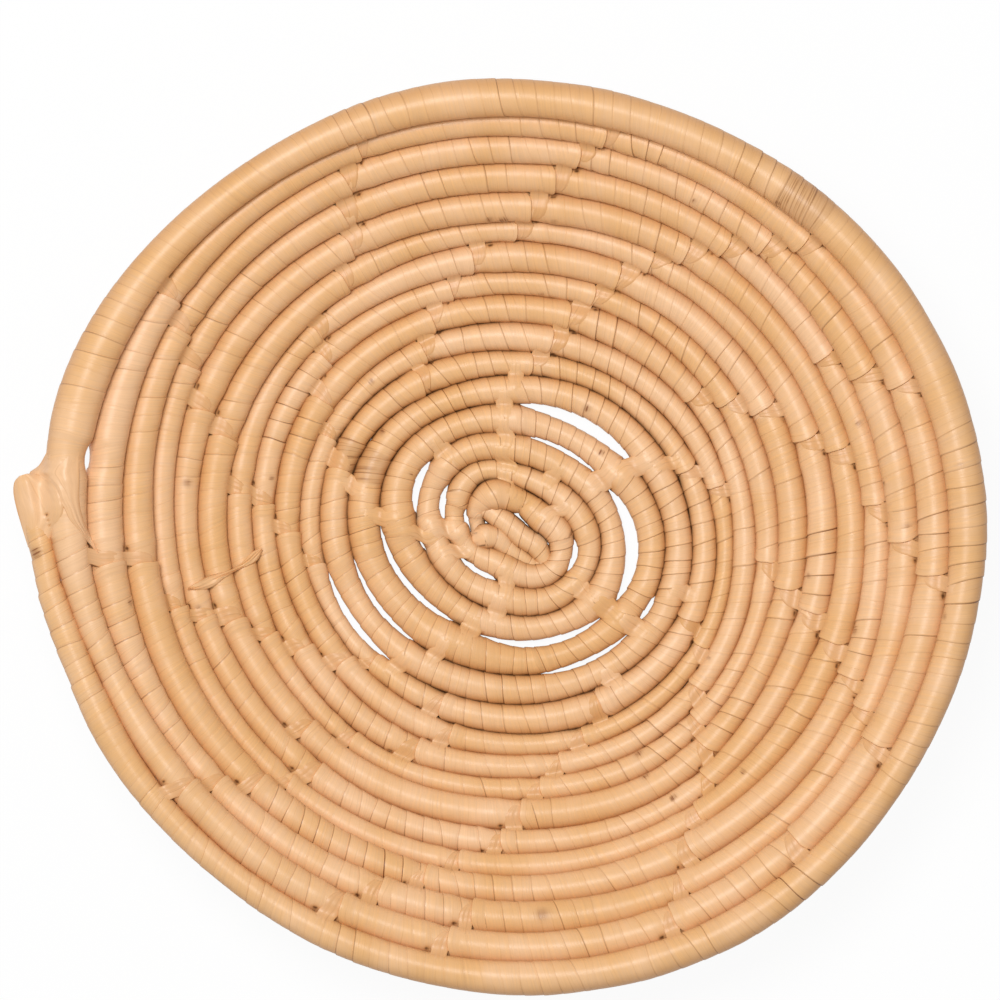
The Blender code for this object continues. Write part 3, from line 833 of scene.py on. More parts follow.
        # The darkest painted shade lies in the listed grooves.
        for first, last in self.path.hand.shaded_grooves:
            shade_strength = np.where((groove > first) & (groove < last), self.darkest_groove_shade, shade_strength)
        # No groove shade outside the rim, and less painted shade where a slit stands open.
        shade_strength = shade_strength * (groove > 1.0) * (1 - 0.8 * smooth_step(0.1, 0.8, self.path.opening(groove)))
        # Painted shade on the rim's outer side and on its inner side.
        rim = 0.5 * (1 - smooth_step(-10.0, 62.0, signed))
        rim = np.maximum(rim, 0.3 * smooth_step(100.0, 140.0, signed))
        rim = rim * (1 - smooth_step(0.97, 1.0, self.path.turn_at(length)))
        return np.maximum(np.clip(1 - side / 72.0, 0.0, 1.0) * shade_strength, rim)

    def stain(self, length: np.ndarray, angle: np.ndarray) -> np.ndarray:
        """How strongly brown streaks and dark spots mark a place of the surface, from 0 to 1."""
        turns = self.path.turn_at(length)
        around = (angle + 180.0) % 360.0 - 180.0
        stain = np.zeros(length.shape)
        for first, last in self.path.hand.brown_streaks:
            rise, fall = (first - self.streak_edge, first), (last, last + self.streak_edge)
            stain = np.maximum(stain, plateau(rise, fall, turns))
        for turn, spot_angle, size in self.path.hand.dark_spots:
            radius = float(self.path.read(self.path.radii, self.path.length_at(turn)))
            apart = np.hypot(length - self.path.length_at(turn), np.radians(around - spot_angle) * radius)
            stain = np.maximum(stain, self.spot_strength * bell(apart, self.spot_share * size))
        return np.minimum(stain, self.most_stain)

    def strip(self, parts: MeshParts, first: int, last: int) -> None:
        """Wind the leaf strip from one wrap to another.

        Args:
            parts: where the patch is added.
            first: number of its first wrap.
            last: number of the wrap after its last.
        """
        across, strong, weak = (np.array(column)[None, :] for column in zip(*self.section))
        steps = np.arange((last - first) * self.sides + 1)[:, None]
        wrap = first + steps / self.sides + 0 * across
        angle = -90.0 - 360.0 * steps / self.sides + 0 * across
        seam_middles = np.arange(len(self.seams)) + 0.5
        lean = np.interp(wrap + across, seam_middles, self.seam_lean) * np.cos(np.radians(angle))
        length = np.interp(wrap + across, np.arange(len(self.starts)), self.starts) + lean
        seam = np.interp(wrap + np.round(across), seam_middles, self.seams)
        bold = np.clip(seam, 0.0, 1.0)
        proud = np.interp(wrap, np.arange(len(self.proud)), self.proud) * bold
        press, shade = self.pressed(length, angle)
        points = self.surface(length, angle, bold * strong + (1 - bold) * weak + proud - press)
        tint = self.tints[np.searchsorted(self.sections, length)]
        turn = self.path.turn_at(length)
        tint = tint + 0.2 * (1 - smooth_step(0.95, 1.05, turn))
        tint = tint - 0.5 * smooth_step(0.94, 0.985, turn) * (1 - smooth_step(1.0, 1.03, turn))
        # The leaf's fourth value is painted shade, of the grooves and beside the stitches.
        painted_shade = np.maximum(self.painted_shade(length, angle), shade)
        leaf = np.stack([tint, seam, self.stain(length, angle), painted_shade], axis=-1).reshape(-1, 4)
        coordinates = np.stack([first + across + 0 * wrap, wrap], axis=-1).reshape(-1, 2)
        faces = tube_faces(len(steps), across.shape[1])[:, ::-1]
        parts.add(points.reshape(-1, 3), faces, coordinates, leaf)

    def close(self, parts: MeshParts) -> None:
        """Close the coil's inner end, where the last wrap stops."""
        self.dome(parts, float(self.starts[-1]), self.path.lengths[-1])

    def dome(self, parts: MeshParts, start: float, tip: float) -> None:
        """Round off an end of the coil.

        Args:
            parts: where the patch is added.
            start: length along the coil where the wraps stop.
            tip: length of the coil's own end, which the tip passes a little.
        """
        share = np.linspace(0.0, 1.0, 8)[:, None]
        angle = (np.arange(24) * 15.0)[None, :]
        length = start + (tip - start) * np.minimum(share * 1.6, 1.0) + 0 * angle
        round_off = np.cos(share * 0.96 * math.pi / 2)
        radius = self.path.read(self.path.radii, length)
        points = self.surface(length, angle + 0 * length, radius * (round_off - 1) * LEAF_SHARE - 0.1)
        sign = 1 if tip > start else -1
        ahead = self.path.centres[-1 if sign > 0 else 0] - self.path.centres[-9 if sign > 0 else 8]
        points = points + (0.5 * radius * (1 - round_off))[..., None] * ahead / np.linalg.norm(ahead)
        coordinates = np.stack([angle / 90.0 + 0 * length, length / 6.0], axis=-1).reshape(-1, 2)
        # A middling tint and a little painted shade.
        leaf = np.full((points.shape[0] * points.shape[1], 4), (0.5, 0.0, 0.0, 0.1))
        faces = tube_faces(8, 24)
        parts.add(points.reshape(-1, 3), faces if sign > 0 else faces[:, ::-1], coordinates, leaf)

    def tint_at(self, place: float) -> float:
        """Tint of the leaf at this length along the coil."""
        return float(self.tints[np.searchsorted(self.sections, place)])

    def patch(
        self, parts: MeshParts, top: np.ndarray, under: np.ndarray, leaf: np.ndarray, stitch: Stitch
    ) -> None:
        """Add a closed piece of leaf from its two faces.

        Args:
            parts: where the patch is added.
            top: its upper points, row after row towards the tray's middle, each row along the coil.
            under: its lower points.
            leaf: tint, seam strength, stain and painted shade of each upper point.
            stitch: the stitch that it belongs to, which gives the fibres their places.
        """
        rows, columns = top.shape[:2]
        share = np.linspace(0.15, 0.85, columns)[None, :] + np.zeros((rows, 1))
        along = np.linspace(0.0, 0.7, rows)[:, None] + 9 * stitch.phase + 0 * share
        coordinates = np.stack([math.floor(40 * stitch.phase) + share, along], axis=-1).reshape(-1, 2)
        faces = shell_faces(rows, columns)
        points = np.concatenate([top.reshape(-1, 3), under.reshape(-1, 3)])
        leaf = np.tile(leaf.reshape(-1, 4), (2, 1))
        parts.add(points, faces if stitch.side > 0 else faces[:, ::-1], np.tile(coordinates, (2, 1)), leaf)

    def collar(self, parts: MeshParts, stitch: Stitch) -> None:
        """Lay the last wrap beside a stitch, whose cut edge stands over it.

        Args:
            parts: where the patch is added.
            stitch: the stitch.
        """
        angles = np.linspace(-16.0, 196.0, 23)[:, None]
        run = np.array([0.0, 0.15, 0.6, 1.4, 2.5, 3.9, 5.6])[None, :]
        lift = np.array([0.18, 0.36, 0.40, 0.34, 0.22, 0.08, -0.18])[None, :]
        turned = np.radians(angles)
        edge = stitch.half - 0.55 * np.sin(turned) + 0.1 * np.cos(4.0 * turned + 9.0 * stitch.phase)
        edge = edge + 0.5 * stitch.lean * np.cos(turned)
        edge = edge + 1.7 * np.clip(np.cos(turned), 0.0, 1.0) ** 5
        edge = edge + 0.9 * np.clip(-np.cos(turned), 0.0, 1.0) ** 6
        length = self.path.length_at(stitch.turn) + edge + run
        sunk = 0.5 * (1 - smooth_step(-16.0, 6.0, angles)) + 0.5 * smooth_step(174.0, 196.0, angles)
        lift = lift - sunk
        around = stitch.side * angles + 0 * run
        painted_shade = self.painted_shade(length, around)
        leaf = np.zeros(length.shape + (4,))
        leaf[..., 0] = self.tint_at(self.path.length_at(stitch.turn) + 0.01)
        # Painted shade along the cut edge, with the painted shade of the grooves.
        leaf[..., 3] = np.maximum(painted_shade, 0.35 * (run < 0.05))
        top, under = self.surface(length, around, lift), self.surface(length, around, lift - 0.5)
        self.patch(parts, top, under, leaf, stitch)

    def tongue(self, parts: MeshParts, stitch: Stitch) -> None:
        """Draw one stitch over the groove and onto the round inside it.

        Args:
            parts: where the patch is added.
            stitch: the stitch.
        """
        share = np.linspace(-1.0, 1.0, 13)[None, :]
        low = stitch.turn > self.saddles_from
        if low:
            on_outer = np.array([64.0, 80.0, 96.0, 110.0, 124.0, 138.0])[:, None]
            outer_lift = np.array([-0.4, -0.1, 0.1, 0.2, 0.26, 0.28])[:, None]
            on_inner = np.array([42.0, 54.0, 66.0, 78.0, 90.0, 102.0, 114.0])[:, None]
            inner_lift = np.array([0.30, 0.30, 0.26, 0.18, 0.06, -0.12, -0.45])[:, None]
            outer_edges = [np.full((6, 1), sign * stitch.half) for sign in (-1.0, 1.0)]
            inner_edges = [np.full((7, 1), sign * stitch.half) for sign in (-1.0, 1.0)]
            profile, sink = 1 - share**2, 0.5 * share**4
        else:
            on_outer = np.array([74.0, 88.0, 102.0, 116.0, 130.0, 144.0])[:, None]
            outer_lift = np.array([-0.35, -0.08, 0.08, 0.16, 0.20, 0.22])[:, None]
            part = np.linspace(0.0, 1.0, 10)[:, None]
            on_inner = 42.0 + (48.0 + stitch.reach) * part
            inner_lift = 0.34 - 0.5 * smooth_step(0.72, 1.0, part)
            fan = np.linspace(1.5, 1.0, 6)[:, None] * stitch.half
            outer_edges = [-fan, fan]
            narrowing = part ** (1.1 + 1.4 * stitch.phase)
            inner_edges = [stitch.half * (1.5 * narrowing - 1.1), stitch.half + 0.7 * np.ones_like(part)]
            profile, sink = 1 - share**6, 0.12 + 0 * share
        patches = []
        for angles, lift, edges, turn, lean in (
            (on_outer, outer_lift, outer_edges, stitch.turn - 1, -0.5),
            (on_inner, inner_lift, inner_edges, stitch.turn, 0.5),
        ):
            middle, half = (edges[1] + edges[0]) / 2, (edges[1] - edges[0]) / 2
            length = self.path.length_at(turn) + lean * stitch.lean + middle + half * share
            around = stitch.side * angles + 0 * share
            crease = 0.05 * np.cos(FULL_TURN * (1.6 * share + stitch.phase)) * smooth_step(-0.2, 0.1, lift)
            press = self.pressed(length, around)[0] if turn == stitch.turn else 0.0
            patches.append(self.surface(length, around, lift * profile - sink - press + crease))
        bridge = [patches[0][-1:] * (1 - part) + patches[1][:1] * part for part in (0.33, 0.67)]
        top = np.concatenate([patches[0], *bridge, patches[1]])
        for _ in range(3):
            top[4:10] = (top[3:9] + 2 * top[4:10] + top[5:11]) / 4
        up = stitch.side * self.path.read(self.path.up, self.path.length_at(stitch.turn))
        row = np.arange(len(top))[:, None]
        # Painted shade over the bridge across the groove, along the stitch's edges, and on its arms.
        painted_shade = 0.42 * bell(row - 6.5, 1.9) + 0 * share
        if low:
            painted_shade = np.maximum(painted_shade, 0.8 * share**6 * bell(row - 6.5, 1.6))
        else:
            painted_shade = np.maximum(painted_shade, 0.62 * share**10 * smooth_step(3.0, 6.0, row))
            middle_shade = 0.24 * smooth_step(2.0, 5.0, row) * (1 - smooth_step(12.0, 17.0, row))
            painted_shade = np.maximum(painted_shade, 0.14 + middle_shade)
        leaf = np.zeros(top.shape[:2] + (4,))
        leaf[..., 0] = self.tint_at(self.path.length_at(stitch.turn - 1))
        leaf[..., 3] = painted_shade
        self.patch(parts, top, top - 0.5 * up, leaf, stitch)


@dataclass(frozen=True)
class Drape:
    """A leaf that lies over the coil, given by its two long edges as seen from above."""

    left: tuple[tuple[float, float], ...]
    right: tuple[tuple[float, float], ...]
    turns: tuple[float, float]
    lift: float
    creases: float = 0.12
    tint: float = 0.5
    rows: int = 44
    columns: int = 19
    pulls: int = 14
    thickness: float = 0.4
    sunk: tuple[float, float] = (0.0, 1.0)
    # Painted shade all over the leaf, stronger towards its sides.
    shade: float = 0.0
    pits: tuple[tuple[float, float, float], ...] = ()

    def edge(self, points: tuple[tuple[float, float], ...]) -> np.ndarray:
        """Even points on a smooth curve through an edge's points."""
        knots = np.array([points[0], *points, points[-1]])
        curve = np.concatenate([knots[:1], curve_through(knots, 10)])
        runs = np.linalg.norm(np.diff(curve, axis=0), axis=1)
        walked = np.concatenate([[0.0], np.cumsum(runs)])
        places = np.linspace(0.0, walked[-1], self.rows)
        return np.stack([np.interp(places, walked, curve[:, i]) for i in range(2)], axis=1)

    def build(self, parts: MeshParts, path: CoilPath) -> None:
        """Lay the leaf on the coil, drawn taut over the grooves.

        Args:
            parts: where the patch is added.
            path: the coil that carries it.
        """
        share = np.linspace(0.0, 1.0, self.columns)[None, :, None]
        flat = self.edge(self.left)[:, None] * (1 - share) + self.edge(self.right)[:, None] * share
        side = share[..., 0] * 2 - 1
        along = np.linspace(0.0, 1.0, self.rows)[:, None]
        out = smooth_step(-0.001, self.sunk[0], along) * (1 - smooth_step(self.sunk[1], 1.001, along))
        ground = path.envelope(flat.reshape(-1, 2), *self.turns, 0.15).reshape(self.rows, self.columns)
        ground = ground + self.lift * out - 0.7 * (1 - out)
        height = ground
        for _ in range(self.pulls):
            padded = np.pad(height, 1, mode="edge")
            mean = (padded[:-2, 1:-1] + padded[2:, 1:-1] + padded[1:-1, :-2] + padded[1:-1, 2:]) / 4
            height = np.maximum(ground, mean)
        height = height + self.creases * out * np.cos(FULL_TURN * (1.7 * side + 1.1 * along))
        height = height - (self.lift + 0.1) * np.abs(side) ** 6
        hollow = np.zeros(height.shape)
        for x, y, size in self.pits:
            apart = np.hypot(flat[..., 0] - x, flat[..., 1] - y)
            hollow = np.maximum(hollow, bell(apart, size))
        height = height - 0.6 * hollow
        top = np.concatenate([flat, height[..., None]], axis=-1).reshape(-1, 3)
        points = np.concatenate([top, top - np.array([0.0, 0.0, self.thickness])])
        coordinates = np.stack([3.5 + 0.45 * side + 0 * along, 1.6 * along + 0 * side], axis=-1)
        coordinates = np.tile(coordinates.reshape(-1, 2), (2, 1))
        leaf = np.zeros((self.rows, self.columns, 4))
        leaf[..., 0] = self.tint
        # Painted shade along the leaf's long edges and in its pits.
        edges = np.maximum(0.6 * out * np.abs(side) ** 10, hollow)
        leaf[..., 3] = np.maximum(edges, self.shade * (1 + side**2))
        leaf = np.tile(leaf.reshape(-1, 4), (2, 1))
        parts.add(points, shell_faces(self.rows, self.columns)[:, ::-1], coordinates, leaf)


@dataclass(frozen=True)
class Binding:
    """The end of the coil: its wound bundle with a round tip, and the folded leaf that ties it to the rim."""

    band: Drape = Drape(
        left=((-144.6, 32.0), (-146.2, 28.4), (-148.0, 25.0), (-150.2, 21.6), (-153.2, 19.1), (-150.2, 17.4),
              (-146.6, 14.9), (-144.3, 11.4), (-141.7, 7.8), (-140.0, 4.2), (-136.9, 0.5), (-133.9, -3.6),
              (-131.3, -7.0)),
        right=((-137.2, 32.0), (-137.0, 27.8), (-137.0, 22.4), (-136.8, 17.0), (-136.9, 11.6), (-136.4, 7.3),
               (-135.1, 2.9), (-133.6, -0.6), (-131.9, -4.0), (-130.6, -6.6)),
        turns=(-0.02, 2.12), lift=0.35, creases=0.13, tint=0.12, rows=64, columns=27,
        sunk=(0.4, 1.0), shade=0.16,
    )
    lobe: Drape = Drape(
        left=((-156.4, 18.2), (-158.0, 16.2), (-158.3, 12.7), (-157.4, 8.0), (-156.3, 4.0), (-155.0, -0.5),
              (-153.6, -5.0)),
        right=((-153.8, 19.0), (-150.6, 18.7), (-147.5, 17.5), (-144.8, 15.1), (-142.9, 12.1), (-141.6, 8.3),
               (-142.4, 4.5), (-144.6, 1.5), (-146.3, -2.0), (-147.0, -5.5)),
        turns=(-0.03, 1.1), lift=0.6, creases=0.14, tint=0.3, rows=56, columns=27, pulls=26,
        sunk=(0.0, 0.5), shade=0.1,
        pits=((-147.5, 5.6, 0.7), (-147.0, 3.8, 0.4), (-146.6, 2.2, 0.4)),
    )

    def build(self, winding: Winding) -> bpy.types.Object:
        """Make the piece.

        Args:
            winding: the coil's winding, whose end is bound.

        Returns:
            The binding.
        """
        parts = MeshParts()
        path = winding.path
        last = int(np.searchsorted(winding.starts, path.length_at(0.0)))
        winding.strip(parts, 0, last)
        winding.dome(parts, winding.first_wrap_length + 0.3, 0.0)
        self.band.build(parts, path)
        self.lobe.build(parts, path)
        return parts.make("tail_fold")


@dataclass(frozen=True)
class Strand:
    """A loose twisted strip of leaf that lies across four rounds of the wall."""

    course: tuple[tuple[float, float], ...] = (
        (-102.1, -18.6), (-98.5, -17.6), (-94.6, -16.0), (-91.0, -14.3), (-87.6, -12.7), (-84.6, -11.0),
        (-81.8, -9.2), (-79.9, -7.3), (-78.2, -5.6),
    )
    half_widths: tuple[float, ...] = (0.4, 1.5, 1.9, 1.1, 0.55, 0.8, 1.5, 1.5, 0.5)
    turns: tuple[float, float] = (4.5, 8.6)

    def build(self, path: CoilPath) -> bpy.types.Object:
        """Make the piece.

        Args:
            path: the coil that it lies on.

        Returns:
            The strand.
        """
        course = np.array(self.course)
        along = np.gradient(course, axis=0)
        side = np.stack([-along[:, 1], along[:, 0]], axis=1) / np.linalg.norm(along, axis=1)[:, None]
        half = np.array(self.half_widths)[:, None]
        left, right = course + side * half, course - side * half
        drape = Drape(
            left=tuple(map(tuple, left)), right=tuple(map(tuple, right)), turns=self.turns, lift=0.7,
            creases=0.22, tint=0.6, rows=48, columns=9, pulls=30,
        )
        parts = MeshParts()
        drape.build(parts, path)
        return parts.make("loose_strand")


@dataclass(frozen=True)
class Bundle:
    """The grass bundle inside the wraps, which shows only through an opening between them."""

    share: float = 0.74
    sides: int = 12
    step: float = 2.5

    def build(self, path: CoilPath) -> bpy.types.Object:
        """Make the piece.

        Args:
            path: its course.

        Returns:
            The bundle.
        """
        total = path.lengths[-1]
        length = np.linspace(1.0, total - 1.0, int(total / self.step))[:, None]
        angle = (np.arange(self.sides) * 360.0 / self.sides)[None, :]
        radius = path.read(path.radii, length + 0 * angle) * self.share
        radius[0], radius[-1] = radius[0] * 0.5, radius[-1] * 0.5
        points = path.point(length + 0 * angle, angle + 0 * length, radius)
        coordinates = np.stack([angle / 360.0 * 9 + 0 * length, length / 25.0 + 0 * angle], axis=-1)
        # Tint, seam, stain and painted shade as the leaf has them; the grass finish reads none of them.
        leaf = np.full((points.shape[0] * self.sides, 4), (0.5, 0.0, 0.0, 0.6))
        parts = MeshParts()
        faces = tube_faces(len(length), self.sides)
        parts.add(points.reshape(-1, 3), faces, coordinates.reshape(-1, 2), leaf)
        return parts.make("grass_stems")


class Sock:
    """A socket of a shader node that Python expressions can work on."""

    def __init__(self, shader: "Shader", socket: bpy.types.NodeSocket) -> None:
        """Wrap a socket.

        Args:
            shader: the shader that the socket's node is in.
            socket: the socket.
        """
        self.shader = shader
        self.socket = socket

    def math(self, operation: str, other: "Sock | float" = 0.0, swap: bool = False) -> "Sock":
        """Add a Math node on this value.

        Args:
            operation: the node's operation.
            other: the second value.
            swap: True if the second value comes first.

        Returns:
            The node's result.
        """
        pair = [other, self] if swap else [self, other]
        return self.shader.node("ShaderNodeMath", {"operation": operation}, {0: pair[0], 1: pair[1]})

    def __add__(self, other: "Sock | float") -> "Sock":
        """Sum."""
        return self.math("ADD", other)

    __radd__ = __add__

    def __sub__(self, other: "Sock | float") -> "Sock":
        """Difference."""
        return self.math("SUBTRACT", other)

    def __rsub__(self, other: "Sock | float") -> "Sock":
        """Difference from a number."""
        return self.math("SUBTRACT", other, swap=True)

    def __mul__(self, other: "Sock | float") -> "Sock":
        """Product."""
        return self.math("MULTIPLY", other)

    __rmul__ = __mul__

    def sibling(self, name: str | int) -> "Sock":
        """Another output of the same node."""
        return Sock(self.shader, self.socket.node.outputs[name])

    def graded(self, low: float, high: float) -> "Sock":
        """Rise smoothly from 0 at low to 1 at high."""
        settings = {"interpolation_type": "SMOOTHSTEP"}
        values = {"Value": self, "From Min": low, "From Max": high}
        return self.shader.node("ShaderNodeMapRange", settings, values)


class Shader:
    """A material's nodes, made from Python expressions."""

    def __init__(self, name: str) -> None:
        """Make an empty material.

        Args:
            name: its name.
        """
        self.material = bpy.data.materials.new(name)
        self.material.use_nodes = True
        self.tree = self.material.node_tree
        self.tree.nodes.clear()

    def node(
        self, kind: str, settings: dict | None = None, values: dict | None = None, output: str | int = 0
    ) -> Sock:
        """Add a node.

        Args:
            kind: the node's type.
            settings: its properties, set first.
            values: a value or a link for each of its sockets, by name or number.
            output: the output to return.

        Returns:
            The output.
        """
        made = self.tree.nodes.new(kind)
        for key, value in (settings or {}).items():
            setattr(made, key, value)
        for key, value in (values or {}).items():
            if isinstance(value, Sock):
                self.tree.links.new(value.socket, made.inputs[key])
            else:
                made.inputs[key].default_value = value
        return Sock(self, made.outputs[output])

    def mix(self, share: Sock | float, first: Sock | tuple, second: Sock | tuple, blend: str = "MIX") -> Sock:
        """Mix two colours.

        Args:
            share: how much of the second shows.
            first: the first colour.
            second: the second colour.
            blend: how they are blended.

        Returns:
            The mixed colour.
        """
        settings = {"data_type": "RGBA", "blend_type": blend}
        return self.node("ShaderNodeMix", settings, {0: share, 6: first, 7: second}, 2)

    def finish(self, surface: Sock) -> bpy.types.Material:
        """Link the surface to the material's output and return the material."""
        out = self.tree.nodes.new("ShaderNodeOutputMaterial")
        self.tree.links.new(surface.socket, out.inputs["Surface"])
        return self.material


def rgb(red: float, green: float, blue: float) -> tuple[float, float, float, float]:
    """A colour from its screen values, 0 to 255, as the shader's linear values."""
    linear = [((v / 255 + 0.055) / 1.055) ** 2.4 if v > 10.3 else v / 255 / 12.92 for v in (red, green, blue)]
    return (linear[0], linear[1], linear[2], 1.0)


@dataclass(frozen=True)
class LeafFinish:
    """The wound leaf: fine fibres along the strip, tints from strip to strip, dark seams and painted groove
    shade.
    """

    name: str = "palm_leaf"
    pink: tuple = rgb(235, 191, 148)
    tan: tuple = rgb(224, 174, 118)
    seam: tuple = rgb(112, 60, 24)
    # Painted shade colours: a broad orange-brown beside the grooves, and dark brown deep in them.
    shade: tuple = rgb(198, 138, 80)
    groove: tuple = rgb(82, 42, 14)
    stain: tuple = rgb(134, 80, 46)
    coarse_grain: tuple[float, float] = (9.0, 1.1)
    fine_grain: tuple[float, float] = (34.0, 2.6)
    cloud_scale: float = 60.0
    roughness: float = 0.36
    specular: float = 0.35
    bump_height: float = 0.0004
    bump_strength: float = 0.35

    def make(self) -> bpy.types.Material:
        """Make the material."""
        shader = Shader(self.name)
        winding = shader.node("ShaderNodeUVMap", {"uv_map": "winding"})
        across = shader.node("ShaderNodeSeparateXYZ", values={0: winding})
        along = across.sibling(1)
        leaf = shader.node("ShaderNodeAttribute", {"attribute_name": "leaf"})
        tint = shader.node("ShaderNodeSeparateColor", values={0: leaf})
        strength, stain = tint.sibling(1), tint.sibling(2)
        painted_shade = leaf.sibling("Alpha")
        position = shader.node("ShaderNodeTexCoord", output="Object")
        inside = across.math("FRACT")
        coarse = self.fibres(shader, across, along, self.coarse_grain)
        fine = self.fibres(shader, across, along, self.fine_grain)
        cloud = shader.node("ShaderNodeTexNoise", values={
            "Vector": position, "Scale": self.cloud_scale, "Detail": 3.0,
        })
        warmth = (tint + (cloud - 0.5) * 1.3 + (coarse - 0.5) * 0.6).graded(0.0, 1.0)
        colour = shader.mix(warmth, self.pink, self.tan)
        # Fibre tone, with faint painted light and shade across each wrap: lighter at its raised edge, darker
        # where it tucks under the next.
        shade = 1.0 + (coarse - 0.5) * 0.28 + (fine - 0.5) * 0.2 + (0.5 - inside) * strength * 0.07
        grey = shader.node("ShaderNodeCombineColor", values={0: shade, 1: shade, 2: shade})
        colour = shader.mix(1.0, colour, grey, "MULTIPLY")
        # Painted shade: a broad orange-brown band beside the grooves and on the rim's sides.
        colour = shader.mix(painted_shade.graded(0.03, 0.7) * 0.68, colour, self.shade)
        # The seams' own dark line, made stronger by the painted shade near the grooves.
        line = (1.0 - inside.graded(0.02, 0.085)) * strength * (0.48 + painted_shade * 0.7 + (cloud - 0.5) * 1.2)
        colour = shader.mix(line.math("MINIMUM", 0.95), colour, self.seam)
        # Painted shade in fine folds of the leaf, stronger near the grooves.
        fold = (inside - 0.3 - cloud * 0.5).math("ABSOLUTE")
        crease_shade = (1.0 - fold.graded(0.0, 0.03)) * (0.12 + painted_shade * 0.3) * coarse.graded(0.4, 0.6)
        colour = shader.mix(crease_shade, colour, self.seam)
        streaks = coarse.graded(0.5, 0.66) * cloud.graded(0.3, 0.6)
        colour = shader.mix((stain * (0.17 + streaks * 0.55)).math("MINIMUM", 0.92), colour, self.stain)
        # Painted shadow: a dark brown line deep in the grooves.
        colour = shader.mix(painted_shade.graded(0.55, 0.95) * 0.9, colour, self.groove)
        height = (coarse - 0.5) * 0.5 + (fine - 0.5) * 0.35
        bump = shader.node("ShaderNodeBump", values={
            "Height": height, "Strength": self.bump_strength, "Distance": self.bump_height,
        })
        surface = shader.node("ShaderNodeBsdfPrincipled", values={
            "Base Color": colour, "Roughness": self.roughness + (fine - 0.5) * 0.2, "Normal": bump,
            "Specular IOR Level": self.specular,
        })
        return shader.finish(surface)


    @staticmethod
    def fibres(shader: Shader, across: Sock, along: Sock, grain: tuple[float, float]) -> Sock:
        """Add a noise of long fibres.

        Args:
            shader: the material's shader.
            across: the place across the leaf.
            along: the place along the leaf.
            grain: how often the noise changes across and along the leaf.

        Returns:
            The noise, about 0.5.
        """
        place = shader.node("ShaderNodeCombineXYZ", values={0: across * grain[0], 1: along * grain[1]})
        return shader.node("ShaderNodeTexNoise", values={"Vector": place, "Scale": 1.0, "Detail": 2.0})


@dataclass(frozen=True)
class GrassFinish:
    """Dried grass stems that run along the coil."""

    name: str = "dried_grass"
    light: tuple = rgb(150, 108, 58)
    dark: tuple = rgb(70, 42, 20)

    def make(self) -> bpy.types.Material:
        """Make the material."""
        shader = Shader(self.name)
        stems = shader.node("ShaderNodeMapping", values={
            "Vector": shader.node("ShaderNodeUVMap", {"uv_map": "winding"}), "Scale": (3.0, 0.5, 1.0),
        })
        noise = shader.node("ShaderNodeTexNoise", values={"Vector": stems, "Scale": 2.0, "Detail": 3.0})
        colour = shader.mix(noise.graded(0.3, 0.7), self.dark, self.light)
        bump = shader.node("ShaderNodeBump", values={"Height": noise, "Strength": 0.5, "Distance": 0.0006})
        surface = shader.node("ShaderNodeBsdfPrincipled", values={
            "Base Color": colour, "Roughness": 0.8, "Normal": bump,
        })
        return shader.finish(surface)


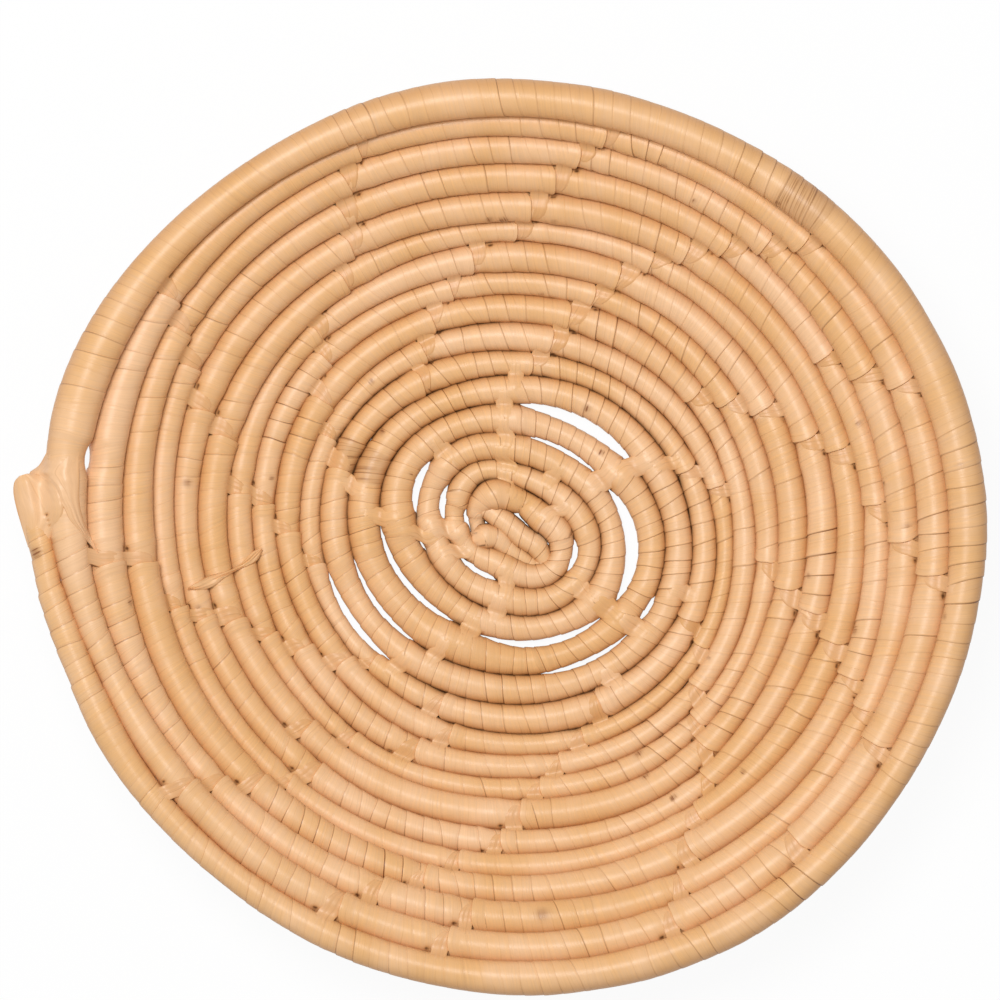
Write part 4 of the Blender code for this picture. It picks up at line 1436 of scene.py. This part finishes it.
@dataclass
class Studio:
    """The floor, the lights and the camera."""

    floor_size: float = 6.0
    floor_grey: float = 0.85
    floor_glow: float = 0.94
    sky_strength: float = 0.4
    lamp_size: float = 0.9
    lamp_energy: float = 30.0
    lamp_place: tuple[float, float, float] = (-0.35, 0.45, 1.9)
    lamp_turn: tuple[float, float, float] = (-0.23, -0.18, 0.0)
    camera_height: float = 5.0
    view_width: float = 0.3255
    view_level: float = 0.026
    view_middle: tuple[float, float] = (-0.0004, 0.0104)

    def build(self) -> None:
        """Set up the whole studio."""
        self.floor()
        self.lights()
        self.camera()

    def floor(self) -> None:
        """Lay the pale floor, which shows white and keeps the object's shadow."""
        bpy.ops.object.select_all(action="DESELECT")
        bpy.ops.mesh.primitive_plane_add(size=self.floor_size, location=(0, 0, 0))
        floor = bpy.context.object
        floor.name = "floor"
        shader = Shader("white_floor")
        diffuse = shader.node("ShaderNodeBsdfDiffuse", values={"Color": (*[self.floor_grey] * 3, 1.0)})
        glow = shader.node("ShaderNodeEmission", values={"Color": (1.0, 1.0, 1.0, 1.0), "Strength": 1.0})
        ray = shader.node("ShaderNodeLightPath", output="Is Camera Ray")
        surface = shader.node("ShaderNodeMixShader", values={0: ray * self.floor_glow, 1: diffuse, 2: glow})
        floor.data.materials.append(shader.finish(surface))

    def lights(self) -> None:
        """Hang one large soft lamp overhead and fill the rest with an even pale sky."""
        world = bpy.data.worlds.new("studio")
        bpy.context.scene.world = world
        world.use_nodes = True
        sky = world.node_tree.nodes["Background"].inputs
        sky["Color"].default_value = (1.0, 1.0, 1.0, 1.0)
        sky["Strength"].default_value = self.sky_strength
        lamp = bpy.data.lights.new("overhead", "AREA")
        lamp.shape = "DISK"
        lamp.size = self.lamp_size
        lamp.energy = self.lamp_energy
        obj = bpy.data.objects.new("overhead", lamp)
        obj.location = self.lamp_place
        obj.rotation_euler = self.lamp_turn
        bpy.context.scene.collection.objects.link(obj)

    def camera(self) -> None:
        """Look straight down, as the photograph does."""
        data = bpy.data.cameras.new("camera")
        data.sensor_width = 36.0
        data.lens = data.sensor_width * (self.camera_height - self.view_level) / self.view_width
        data.clip_end = 20.0
        obj = bpy.data.objects.new("camera", data)
        obj.location = (self.view_middle[0], self.view_middle[1], self.camera_height)
        bpy.context.scene.collection.objects.link(obj)
        bpy.context.scene.camera = obj
        bpy.context.scene.view_settings.view_transform = "Standard"


@dataclass
class Basket:
    """The whole tray."""

    plan: SpiralPlan = field(default_factory=SpiralPlan)
    hand: HandWork = field(default_factory=HandWork)

    def build(self) -> None:
        """Make every piece and dress it."""
        path = CoilPath(self.plan, self.hand)
        winding = Winding(path)
        leaf = LeafFinish().make()
        ends = path.strip_ends()
        log.info("coil of %.0f mm, %d wraps, %d strips, %d stitches", path.lengths[-1], len(winding.starts),
                 len(ends) - 1, len(winding.stitches))
        self.dress(Bundle().build(path), GrassFinish().make(), "grass_bundle", Slot.BUNDLE)
        for number, (first, last) in enumerate(zip(ends, ends[1:]), 1):
            wraps = np.searchsorted(winding.starts, path.length_at(np.array([first, last])))
            parts = MeshParts()
            winding.strip(parts, int(wraps[0]), min(int(wraps[1]), len(winding.starts) - 1))
            for stitch in winding.stitches:
                if first <= stitch.turn - 1 < last:
                    winding.tongue(parts, stitch)
                if first <= stitch.turn < min(last, winding.saddles_from):
                    winding.collar(parts, stitch)
            if number == len(ends) - 1:
                winding.close(parts)
            strip = parts.make(f"leaf_strip_{number:02d}")
            self.dress(strip, leaf, f"wrap_strip_{number:02d}", Slot.WRAP if number % 2 else Slot.PALE_WRAP)
        self.dress(Binding().build(winding), leaf, "tail_binding", Slot.BINDING)
        self.dress(Strand().build(path), leaf, "stray_strand", Slot.BINDING)

    @staticmethod
    def dress(piece: bpy.types.Object, finish: bpy.types.Material, node: str, slot: Slot) -> None:
        """Give a piece its finish and its place in the frame.

        Args:
            piece: the piece.
            finish: its material.
            node: the construction's node that it stands for.
            slot: the record's material slot; not used.
        """
        piece.data.materials.append(finish)
        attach(piece, "root")
        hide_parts(node)
        log.info("%s: %d faces", piece.name, len(piece.data.polygons))


def main() -> None:
    """Load the frame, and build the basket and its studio."""
    logging.basicConfig(level=logging.INFO, format="%(message)s")
    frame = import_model()
    log.info("frame with %d nodes", len(frame["nodes"]))
    Basket().build()
    Studio().build()


if __name__ == "__main__":
    main()
